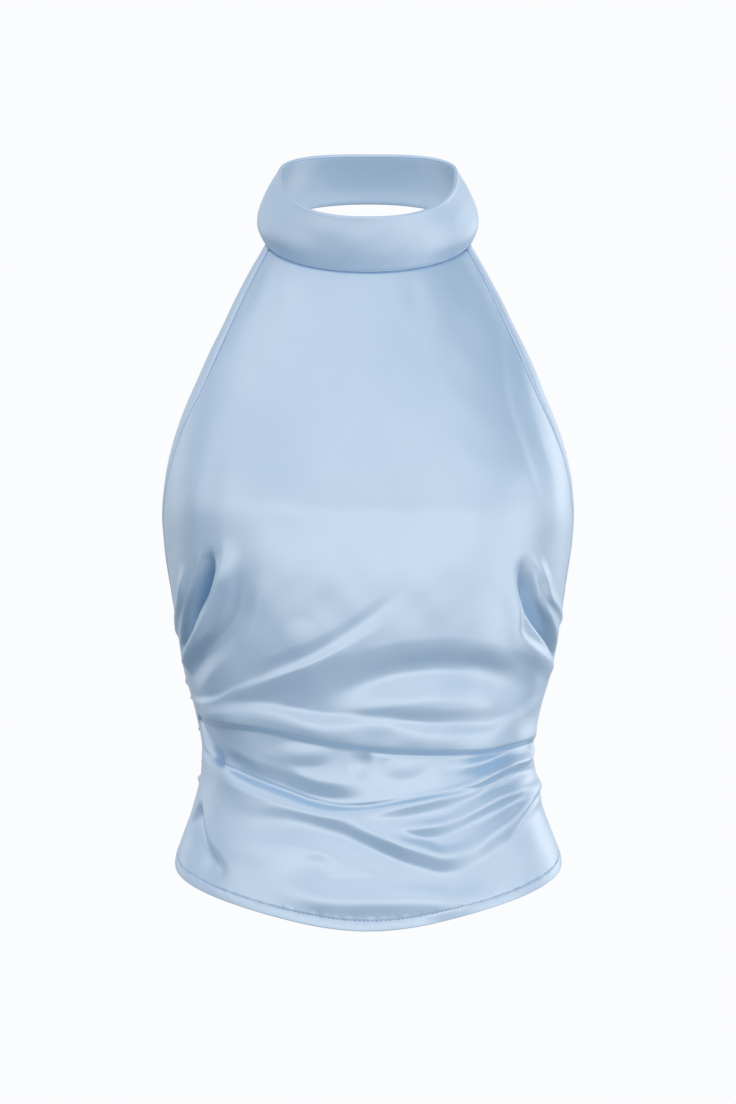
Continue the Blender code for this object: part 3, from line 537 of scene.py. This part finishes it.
# ---- panels ---------------------------------------------------------------------------------
def hem_profile():
    """The turned hem below its stitches, as (distance up from the edge, lift) from the outside in."""
    half = HEM_FOLD / 2
    outside = [(up, 0.0) for up in (9.2, 8.6, 8.0, 7.5, 7.1, 6.8, 6.5, 6.1, 5.4, 4.4, 3.3, 2.2, 1.3, 0.7)]
    turned = [(half - half * math.sin(angle), half * math.cos(angle) - half)
              for angle in np.linspace(0.1, math.pi, 7)]
    inside = [(up, -HEM_FOLD) for up in (1.6, 3.2, 4.8, 6.4)] + [(7.6, -0.7), (8.0, -0.35)]
    return np.array(outside + turned + inside).T


HEM_UP, HEM_LIFT = hem_profile()


def hemmed(up, lift, along):
    """Presses the stitches into a sheet's hem, its last rows, and lets the band below stand full."""
    is_outside = (np.arange(len(up)) >= len(up) - len(HEM_UP))[:, None] & (lift > -0.3)
    groove = (puckered(along, HEM_PUCKERS) * bell(up, HEM_STITCH, 2.6)
              - HEM_GROOVE * bell(up, HEM_STITCH, 0.65))
    full = HEM_FULLNESS * np.sin(np.clip(up / HEM_STITCH, 0, 1) * math.pi)
    return lift + np.where(is_outside, groove + full, 0)


def with_seams(share):
    """Adds three columns inside either side seam, and counts each column's steps inward."""
    steps = np.zeros(len(share) + 6, int)
    steps[:3], steps[-3:] = (3, 2, 1), (1, 2, 3)
    return np.concatenate([[-1] * 3, share, [1] * 3]), steps


def front_cloth(material):
    side_drop = np.concatenate([list(NECK_EDGE), np.arange(4, FINE_FROM, 4),
                                np.linspace(FINE_FROM, SIDE_HEM - HEM_TOP, FRONT_ROWS), SIDE_HEM - HEM_UP])
    level_rows = len(side_drop) - len(NECK_EDGE) - len(HEM_UP)
    row_lift = np.concatenate([list(NECK_EDGE.values()), np.zeros(level_rows), HEM_LIFT])[:, None]
    middle = np.linspace(-1, 1, FRONT_COLUMNS)[1:-1]
    share, steps = with_seams(np.concatenate([[-1, -0.9975, -0.995], middle, [0.995, 0.9975, 1]]))
    a, b = np.meshgrid(share, side_drop)
    step = np.broadcast_to(steps, a.shape)
    strip = strip_share(side_drop)[:, None]
    below = ease((side_drop - SIDE_SEAM_FROM) / 8)[:, None]     # past the binding, at the side seam
    tuck = np.choose(step, [0, 0.10, 0.35, 0.55]) * strip
    across = a * (1 - strip - EDGE_ROOM) + np.sign(a) * tuck * (1 - below)
    depth = np.choose(step, [0, 0.5, TUCK, TUCK]) * (1 - below) + np.choose(step, SEAM_STEPS) * below
    rounding = EDGE_ROUND * np.clip((np.abs(a) - 1) / EDGE_ROUND_SHARE + 1, 0, 1)**2
    row_lift = hemmed((SIDE_HEM - side_drop)[:, None], row_lift, across * FRONT_HEM_HALF)
    points = lifted(front_sheet, across, b, row_lift - depth - rounding)
    rise, inward = (np.array(values)[:, None] for values in zip(*NECK_ALLOWANCE))
    points = np.concatenate([collar_face(across[0] * COLLAR_CORNER, rise, inward), points])
    across = np.concatenate([across[0] + 0 * rise, across])
    b = np.concatenate([-rise + 0 * across[0], b])
    flat = np.stack([across * FRONT_FLAT_HALF, -b], -1) * METRES
    return add_piece("front_cloth", points, grid_faces(*b.shape).tolist(), flat, material, "front_panel")


def back_cloth(material):
    share, steps = with_seams(np.linspace(-1, 1, BACK_COLUMNS))
    height = back_height(share)
    start = BINDING_WIDTH / height
    body = [start + (1 - HEM_TOP / height - start) * t for t in np.linspace(0, 1, BACK_ROWS)]
    down = np.array([start * 0.45, start * 0.66, start * 0.9] + body + [1 - up / height for up in HEM_UP])
    row_lift = np.concatenate([[-TUCK, -TUCK, -0.5, -0.3, -0.1], np.zeros(len(body) - 2), HEM_LIFT])[:, None]
    across = np.broadcast_to(share, down.shape)
    up = (1 - down) * height
    depth = np.choose(steps, SEAM_STEPS) + np.where((np.abs(share) == 1) & (steps == 0), 0.45, 0)
    points = lifted(back_sheet, across, down, hemmed(up, row_lift, across * BACK_HALF) - depth)
    flat = np.stack([across * BACK_HALF, up], -1) * METRES
    return add_piece("back_cloth", points, grid_faces(*down.shape).tolist(), flat, material, "back_panel")


# ---- bindings -------------------------------------------------------------------------------
def strip_cloth(name, place, lengths, material, node):
    """A folded strip. place(s, along) gives the sheet and its two measures at s mm across it."""
    s, lift = np.array(BINDING_PROFILE).T
    s, along = np.meshgrid(s, lengths)
    lift = (lift + puckered(along, BINDING_PUCKERS) * bell(s, LIP, 1.6)
            + 0.10 * np.sin(along / 9.0 + s * 0.3))     # and a slow slanting wave
    points = lifted(*place(s, along), lift)
    add_piece(name, points, tube_faces(*s.shape), np.stack([s, along], -1) * METRES, material, node)


def armhole_place(side):
    def place(s, side_drop):
        return front_sheet, side * (1 - strip_share(side_drop) * (1 - s / BINDING_WIDTH)), side_drop
    return place


def back_top_place(s, along):
    across = along / BACK_TOP_HALF
    return back_sheet, across, (BINDING_WIDTH - s) / back_height(across)


# ---- collar ---------------------------------------------------------------------------------
def collar_profile():
    """Round the folded band: (rise, inward, upward) from its lower edge, up its outer face."""
    half = COLLAR_WALL / 2
    lower = [(0, 1.3, 0), (0.1, 0.75, 0), (0.4, 0.3, 0), (0.9, 0.08, 0)]
    outer = [(rise, 0, 0) for rise in np.linspace(1.8, COLLAR_RISE, 26)]
    rim = [(COLLAR_RISE, half - half * math.cos(angle), half * math.sin(angle))
           for angle in np.linspace(0, math.pi, 11)[1:-1]]
    inner = [(rise, COLLAR_WALL, 0) for rise in np.linspace(COLLAR_RISE, 1.2, 20)]
    return np.array(lower + outer + rim + inner + [(0.4, COLLAR_WALL - 0.2, 0), (0, COLLAR_WALL - 0.8, 0)])


def collar_swell(turn, rise):
    """How full the band stands between its edges, and how its lower seam puckers."""
    wave, pucker = (sum(height * np.sin(np.radians(turn) * around + rise * climb + shift)
                        for height, around, climb, shift in waves)
                    for waves in (COLLAR_WAVES, COLLAR_PUCKERS))
    full = np.sin(np.clip(rise / COLLAR_RISE, 0, 1) * math.pi)
    return full * wave * COLLAR_FULLNESS + pucker * bell(rise, 1.0, 5.0)


def collar_band(material):
    half_gap = math.degrees(0.5 * SEAM_GAP / COLLAR[0].back)
    ends = np.array([0, 0.05, 0.35, 1.1])
    turns = np.concatenate([-180 + half_gap + ends, np.linspace(-178, 178, 300),
                            180 - half_gap - ends[::-1]])
    rounding, meeting = np.zeros((2, len(turns)))
    rounding[:3], rounding[-3:] = (0.9, 0.35, 0.1), (0.1, 0.35, 0.9)
    meeting[[0, -1]] = -1, 1                            # the facings meet inside the closing edges
    profile = collar_profile()
    rise, inward, upward = (values[:, None] + 0 * turns for values in profile.T)
    is_outer = inward < COLLAR_WALL / 2
    turn = turns + np.where(is_outer, 0, meeting * half_gap * 0.9)
    swell = collar_swell(turn, rise) * np.where(is_outer, 1, COLLAR_INSIDE)
    points = collar_face(turn, rise, inward + np.where(is_outer, rounding, 0) - swell)
    points = points + upward[..., None] * np.array([0, -math.sin(COLLAR_LEAN), math.cos(COLLAR_LEAN)])
    rows, cols = turn.shape
    faces = grid_faces(rows, cols, round_rows=True).tolist()
    faces += [[r * cols for r in range(rows)], [r * cols + cols - 1 for r in range(rows)][::-1]]
    around = lengths_along(profile[:, :2] + profile[:, [2, 2]] * [1, 0])[:, None]
    flat = np.stack([np.radians(turn) * COLLAR_ROUND, around * METRES + 0 * turn], -1)
    add_piece("collar_band", points, faces, flat, material, "collar")


def collar_place(offset, rise):
    """Axes on the collar's outer face, offset along it from the closing edge at the back.

    Local X runs away from the closing edge towards the wearer's left, Y up the band, Z outward.
    """
    def face(distance, height):
        step = np.linalg.norm(collar_face(179.0, height) - collar_face(178.0, height))
        return collar_face(180 - distance / step, height)

    along = face(offset + 0.5, rise) - face(offset - 0.5, rise)
    up = face(offset, rise + 0.5) - face(offset, rise - 0.5)
    x_axis, z_axis = Vector(along).normalized(), Vector(np.cross(up, along)).normalized()
    axes = Matrix((x_axis, z_axis.cross(x_axis), z_axis)).transposed().to_4x4()
    return Matrix.Translation(Vector(face(offset, rise))) @ axes


def covered_button(level, rise, material):
    """A button covered in cloth that is gathered to its underside, on a short shank."""
    base, under = SEAM_GAP, SEAM_GAP + BUTTON_SHANK
    dome, dome_height = under + BUTTON_EDGE, BUTTON_DOME - BUTTON_EDGE
    profile = [(0.01, base), (BUTTON_SHANK_RADIUS, base), (BUTTON_SHANK_RADIUS, under - 0.2),
               (2.2, under), (3.6, under - 0.05), (4.6, under), (5.1, under + 0.12)]
    profile += [(BUTTON_RADIUS * math.cos(a), dome + dome_height * math.sin(a))
                for a in np.radians([0, 8, 18, 30, 42, 54, 66, 78, 86, 89.9])]
    radius, height = (np.array(values)[:, None] for values in zip(*profile))
    round_it = np.linspace(0, 2 * math.pi, 48, endpoint=False)[None, :]
    gathers = 0.10 * np.sin(round_it * 11 + 0.4 * np.sin(round_it * 3)) * bell(radius, 4.7, 0.9)
    height = height + gathers * (height < dome + 1)
    local = np.stack([radius * np.cos(round_it), radius * np.sin(round_it), height], -1)
    place = np.array(collar_place(BUTTON_OFFSET, rise))
    add_piece("covered_button_" + level, local @ place[:3, :3].T + place[:3, 3],
              tube_faces(*height.shape), local[..., :2] * METRES, material, "button_" + level)


def rings_round(line, side, top, radius, sides):
    """Rings of points round a line, for a cord or a thread."""
    angle = np.linspace(0, 2 * math.pi, sides, endpoint=False)[None, :, None]
    return line[:, None] + radius * (np.cos(angle) * side[:, None] + np.sin(angle) * top[:, None])


def sewn_loop(level, rise, material):
    """A rouleau loop, from where it is sewn down, round a button's shank and back."""
    bend = [(LOOP_RADIUS * math.cos(a), LOOP_RADIUS * math.sin(a))
            for a in np.linspace(-math.pi / 2, math.pi / 2, 13)]
    foot = -(BUTTON_OFFSET + LOOP_FOOT)
    corners = ([(foot, -LOOP_END), (foot / 2, -LOOP_WAIST)] + bend
               + [(foot / 2, LOOP_WAIST), (foot, LOOP_END)])
    lengths = lengths_along(corners)
    fine = np.linspace(0, lengths[-1], LOOP_RINGS)
    x_at, y_at = (curve_through(lengths, values) for values in zip(*corners))
    sunk = LOOP_CORD * 1.5 * (bell(fine, 0, 1.6) + bell(fine, lengths[-1], 1.6))
    line = np.array([collar_place(BUTTON_OFFSET + float(x), rise + float(y))
                     @ Vector((0, 0, SEAM_GAP + LOOP_CORD - depth))
                     for x, y, depth in zip(x_at(fine), y_at(fine), sunk)])
    along = unit(np.gradient(line, axis=0))
    side = unit(np.cross(along, (0, 0, 1)))
    rings = rings_round(line, side, np.cross(side, along), LOOP_CORD, LOOP_SIDES)
    flat = np.stack(np.meshgrid(np.arange(LOOP_SIDES) / LOOP_SIDES * 5, fine), -1) * METRES
    add_piece("sewn_loop_" + level, rings, tube_faces(LOOP_RINGS, LOOP_SIDES), flat, material,
              "button_loop_" + level)


# ---- stitches -------------------------------------------------------------------------------
def stitches_on(line, outward):
    """Points of a row of stitches along a line, which lie in the cloth at their ends."""
    length = lengths_along(line)
    count = int(length[-1] / STITCH_PITCH)
    share = np.linspace(-0.5, 0.5, STITCH_RINGS)
    at = ((np.arange(count) + 0.5)[:, None] * STITCH_PITCH + share * STITCH_LENGTH).ravel()

    def sampled(values):
        return np.stack([np.interp(at, length, values[:, k]) for k in range(3)], -1)

    normal = unit(sampled(outward))
    side = unit(np.cross(sampled(np.gradient(line, length, axis=0)), normal))
    proud = np.tile(0.16 - 0.42 * (2 * np.abs(share))**3, count)[:, None]
    thick = np.tile(STITCH_THREAD * np.sqrt(np.clip(1.06 - (2 * share)**4, 0.05, 1)), count)[:, None, None]
    rings = rings_round(sampled(line) + normal * proud, side, normal, thick, STITCH_SIDES)
    return rings.reshape(-1, 3)


def stitching(name, rows_of_stitches, material, slot):
    points = np.concatenate([stitches_on(line, outward) for line, outward in rows_of_stitches])
    first = np.arange(0, len(points), STITCH_RINGS * STITCH_SIDES)[:, None, None]
    faces = (first + grid_faces(STITCH_RINGS, STITCH_SIDES, round_cols=True)).reshape(-1, 4).tolist()
    add_piece(name, points, faces, points[:, [0, 2]] * METRES, material, slot=slot)


def line_on(sheet, a, b, lift):
    outward = outward_of(sheet, a, b)
    return sheet(a, b) + outward * lift, outward


def hem_rows():
    across = np.linspace(-0.985, 0.985, 500)
    yield line_on(front_sheet, across, SIDE_HEM - HEM_STITCH + 0 * across, -0.25)
    yield line_on(back_sheet, across, 1 - HEM_STITCH / back_height(across), -0.25)


def binding_rows():
    side_drop = np.linspace(7, BINDING_END - 8, 400)
    for side in (-1, 1):
        yield line_on(*armhole_place(side)(LIP, side_drop), 0.1)
    yield line_on(*back_top_place(LIP, np.linspace(-BACK_TOP_HALF + 4, BACK_TOP_HALF - 4, 500)), 0.1)


# ---- cloth finishes -------------------------------------------------------------------------
def feed(tree, node, inputs):
    """Links each of a node's inputs to the socket given for it, or sets it to the value given."""
    for name, value in inputs.items():
        if isinstance(value, bpy.types.NodeSocket):
            tree.links.new(value, node.inputs[name])
        else:
            node.inputs[name].default_value = value


def add_node(tree, kind, inputs=(), **settings):
    node = tree.nodes.new(kind)
    for name, value in settings.items():
        setattr(node, name, value)
    feed(tree, node, dict(inputs))
    return node


def number(tree, operation, first, second=0.0, clamp=False):
    return add_node(tree, "ShaderNodeMath", {0: first, 1: second}, operation=operation,
                    use_clamp=clamp).outputs[0]


def satin_weave_group():
    """Long floating threads and a faint cloudiness, on the flat cloth's own measures."""
    group = bpy.data.node_groups.new("satin weave", "ShaderNodeTree")
    for way, kind, names in (("INPUT", "Color", "Colour, Deep Colour"),
                             ("INPUT", "Float", "Thread Width, Float Length, Cloud Size, Cloudiness, "
                                                "Roughness, Roughness Change"),
                             ("OUTPUT", "Color", "Colour"), ("OUTPUT", "Float", "Roughness, Height")):
        for name in names.split(", "):
            group.interface.new_socket(name, in_out=way, socket_type="NodeSocket" + kind)

    def vector(operation, first, second):
        return add_node(group, "ShaderNodeVectorMath", {0: first, 1: second}, operation=operation).outputs[0]

    def noise(place, scale, detail, roughness):
        return add_node(group, "ShaderNodeTexNoise", {"Vector": place, "Scale": scale, "Detail": detail,
                                                      "Roughness": roughness}).outputs["Fac"]

    given = add_node(group, "NodeGroupInput").outputs
    flat = add_node(group, "ShaderNodeUVMap", uv_map="cloth").outputs["UV"]
    millimetres = vector("MULTIPLY", flat, (1000, 1000, 1000))
    thread_size = add_node(group, "ShaderNodeCombineXYZ", {"X": given["Thread Width"],
                                                           "Y": given["Float Length"], "Z": 1.0}).outputs[0]
    threads = noise(vector("DIVIDE", millimetres, thread_size), 1.0, 2.0, 0.6)
    clouds = noise(millimetres, number(group, "DIVIDE", 1.0, given["Cloud Size"]), 3.0, 0.5)
    both = number(group, "ADD", number(group, "MULTIPLY", clouds, 0.75),
                  number(group, "MULTIPLY", threads, 0.25))
    deep = number(group, "MULTIPLY", number(group, "SUBTRACT", both, 0.3), 2.5, clamp=True)
    share = number(group, "MULTIPLY", deep, given["Cloudiness"])
    colour = add_node(group, "ShaderNodeMix", {6: given["Colour"], 7: given["Deep Colour"], 0: share},
                      data_type="RGBA").outputs[2]
    change = number(group, "MULTIPLY", number(group, "SUBTRACT", both, 0.5), given["Roughness Change"])
    rough = number(group, "ADD", given["Roughness"], number(group, "MULTIPLY", change, 2.0))
    add_node(group, "NodeGroupOutput", {"Colour": colour, "Roughness": rough, "Height": threads})
    return group


satin_weave = satin_weave_group()


def new_material(name):
    material = bpy.data.materials.new(name)
    material.use_nodes = True
    return material, material.node_tree, material.node_tree.nodes["Principled BSDF"]


def satin(name, colour, deep_colour, roughness, thread_width=0.45, float_length=6.0,
          cloud_size=32.0, ior=2.4):
    """Glossy floats over a deep dye: a pale broad sheen on a saturated blue."""
    material, tree, shader = new_material(name)
    weave = add_node(tree, "ShaderNodeGroup", {
        "Colour": (*colour, 1), "Deep Colour": (*deep_colour, 1), "Thread Width": thread_width,
        "Float Length": float_length, "Cloud Size": cloud_size, "Cloudiness": 0.35,
        "Roughness": roughness, "Roughness Change": 0.05}, node_tree=satin_weave).outputs
    raised = add_node(tree, "ShaderNodeBump", {"Height": weave["Height"], "Strength": 0.5,
                                               "Distance": WEAVE_DEPTH * METRES}).outputs["Normal"]
    feed(tree, shader, {"Base Color": weave["Colour"], "Roughness": weave["Roughness"], "Normal": raised,
                        "Metallic": 0.0, "IOR": ior, "Specular IOR Level": 1.0, "Sheen Weight": 0.1,
                        "Sheen Roughness": 0.4})
    return material


def painted_light_beyond(material, length, colour):
    """Gives a material another colour from a length up its flat cloth on, in millimetres: here a paler blue
    as painted light on the collar's inside.
    """
    tree = material.node_tree
    shader = tree.nodes["Principled BSDF"]
    flat = add_node(tree, "ShaderNodeUVMap", uv_map="cloth").outputs["UV"]
    up = add_node(tree, "ShaderNodeSeparateXYZ", {"Vector": flat}).outputs["Y"]
    beyond = number(tree, "GREATER_THAN", up, length * METRES)
    face = shader.inputs["Base Color"].links[0].from_socket
    feed(tree, shader, {"Base Color": add_node(tree, "ShaderNodeMix", {6: face, 7: (*colour, 1), 0: beyond},
                                               data_type="RGBA").outputs[2]})


WEAVE_DEPTH = 0.012
PALE_BLUE, DEEP_BLUE = (0.262, 0.468, 0.715), (0.24, 0.442, 0.69)
# Painted light: a much paler blue for the collar's inside faces, to lift the shade that falls inside the
# band.
INSIDE_PAINTED_LIGHT = (0.50, 0.70, 0.90)
body_satin = satin("body satin", PALE_BLUE, DEEP_BLUE, 0.33)
collar_satin = satin("collar satin", PALE_BLUE, DEEP_BLUE, 0.42, cloud_size=22)
# The collar's inside faces get painted light: they are coloured paler than the cloth is.
painted_light_beyond(collar_satin, COLLAR_RISE + 2 * COLLAR_WALL, INSIDE_PAINTED_LIGHT)
binding_satin = satin("binding satin", (0.32, 0.50, 0.74), PALE_BLUE, 0.42, cloud_size=12)
button_satin = satin("button satin", PALE_BLUE, DEEP_BLUE, 0.36, thread_width=0.3, float_length=3,
                     cloud_size=6)
loop_satin = satin("loop satin", PALE_BLUE, DEEP_BLUE, 0.38, thread_width=0.3, float_length=4,
                   cloud_size=6)
sewing_thread = satin("sewing thread", (0.30, 0.45, 0.64), (0.25, 0.39, 0.58), 0.55,
                      thread_width=0.12, float_length=0.8, cloud_size=4, ior=1.6)

# ---- the pieces -----------------------------------------------------------------------------
front = front_cloth(body_satin)
back = back_cloth(body_satin)
collar_band(collar_satin)
armhole_rows = np.append(np.arange(0, BINDING_END - 1, 1.5), BINDING_END)
for side, name in ((1, "left"), (-1, "right")):
    strip_cloth("armhole_strip_" + name, armhole_place(side), armhole_rows, binding_satin,
                "armhole_binding_" + name)
strip_cloth("back_top_strip", back_top_place, np.linspace(-BACK_TOP_HALF, BACK_TOP_HALF, 250),
            binding_satin, "back_top_binding")
for level, rise in zip(("lower", "upper"), BUTTON_RISES):
    covered_button(level, rise, button_satin)
    sewn_loop(level, rise, loop_satin)
stitching("hem_stitching", hem_rows(), sewing_thread, "body_satin")
stitching("binding_stitching", binding_rows(), sewing_thread, "binding_satin")

# ---- light, floor and camera ----------------------------------------------------------------
EYE_DISTANCE, EYE_LEVEL = 3.0, -0.223
FRAME_HIGH = 1104 * 0.000732            # the frame's height in pixels, and a pixel's size at the top
WHITE = (0.965, 0.973, 0.99, 1)
FLOOR_LEVEL, FLOOR_HALF = -0.72, 6

# Soft boxes all round, far off: azimuth (positive towards the wearer's left) and height above the
# level in degrees, tightness, strength. The tighter a box is, the faster its light falls away.
SOFT_BOXES = [
    (0, -60, 10, 0.49), (-75, -35, 10, 0.50), (75, -35, 10, 0.82), (-20, -10, 10, 0.16),
    (20, -10, 10, 0.58), (60, -10, 10, 0.87), (-75, 14, 10, 0.72), (-38, 14, 10, 0.05),
    (0, 14, 10, 0.30), (75, 14, 10, 0.84), (-75, 38, 10, 0.16), (-25, 38, 10, 0.30), (25, 38, 10, 0.77),
    (-90, 62, 10, 0.81), (0, 62, 10, 0.23), (90, 62, 10, 0.15), (130, 10, 10, 1.93),
    (-130, 10, 10, 1.05), (0, 88, 7, 0.52), (180, 60, 7, 0.35), (180, 12, 10, 0.95),
    (180, -35, 10, 0.55), (-50, -6, 30, 0.56), (-25, -6, 30, 0.87), (0, -6, 30, 0.84),
    (25, -6, 30, 0.60), (-25, 12, 30, 0.65), (25, 12, 30, 0.20), (-50, 30, 30, 0.40),
    (-20, 50, 30, 0.21), (20, 50, 30, 0.04), (-50, 12, 30, 0.47), (0, 30, 30, 0.21), (25, 30, 30, 0.13),
    (50, 30, 30, 0.06),
]


def direction(azimuth, height):
    around, up = math.radians(azimuth), math.radians(height)
    return (math.sin(around) * math.cos(up), -math.cos(around) * math.cos(up), math.sin(up))


def white_to_the_eye(tree, seen, hidden):
    """A shader that the camera sees as the first given and all else as the second."""
    ray = add_node(tree, "ShaderNodeLightPath").outputs["Is Camera Ray"]
    return add_node(tree, "ShaderNodeMixShader", {0: ray, 1: hidden, 2: seen}).outputs[0]


def studio_air():
    """White to the eye; the soft boxes to everything else."""
    world = bpy.data.worlds.new("studio air")
    bpy.context.scene.world = world
    world.use_nodes = True
    tree = world.node_tree
    tree.nodes.clear()
    towards = add_node(tree, "ShaderNodeTexCoord").outputs["Generated"]
    total = 0.0
    for azimuth, height, tightness, strength in SOFT_BOXES:
        facing = add_node(tree, "ShaderNodeVectorMath", {0: towards, 1: direction(azimuth, height)},
                          operation="DOT_PRODUCT").outputs["Value"]
        fall = number(tree, "MULTIPLY", number(tree, "SUBTRACT", facing, 1.0), tightness)
        glow = number(tree, "MULTIPLY", number(tree, "EXPONENT", fall), strength)
        total = number(tree, "ADD", total, glow)
    seen, hidden = (add_node(tree, "ShaderNodeBackground", {0: light}).outputs[0] for light in (WHITE, total))
    add_node(tree, "ShaderNodeOutputWorld", {0: white_to_the_eye(tree, seen, hidden)})


def studio_floor():
    """A pale floor that is only seen, so that it and the air read as one sweep."""
    mesh = bpy.data.meshes.new("studio_floor")
    mesh.from_pydata([(x * FLOOR_HALF, y * FLOOR_HALF, FLOOR_LEVEL)
                      for x, y in ((-1, -1), (1, -1), (1, 1), (-1, 1))], [], [(0, 1, 2, 3)])
    material, tree, shader = new_material("pale floor")
    feed(tree, shader, {"Base Color": (0.30, 0.31, 0.33, 1), "Roughness": 0.8})
    seen = add_node(tree, "ShaderNodeEmission", {"Color": WHITE, "Strength": 1.0}).outputs[0]
    feed(tree, tree.nodes["Material Output"], {0: white_to_the_eye(tree, seen, shader.outputs[0])})
    mesh.materials.append(material)
    floor = bpy.data.objects.new("studio_floor", mesh)
    bpy.context.scene.collection.objects.link(floor)
    floor.visible_diffuse = floor.visible_glossy = floor.visible_shadow = False


studio_air()
studio_floor()
camera = bpy.data.cameras.new("camera")
camera.sensor_fit = "VERTICAL"
camera.sensor_height = camera.sensor_width = 36
camera.lens = EYE_DISTANCE / FRAME_HIGH * camera.sensor_height
eye = bpy.data.objects.new("camera", camera)
eye.location = 0, -EYE_DISTANCE, EYE_LEVEL
eye.rotation_euler = math.pi / 2, 0, 0              # level, straight at the front
bpy.context.scene.collection.objects.link(eye)
bpy.context.scene.camera = eye
bpy.context.scene.view_settings.view_transform = "Standard"
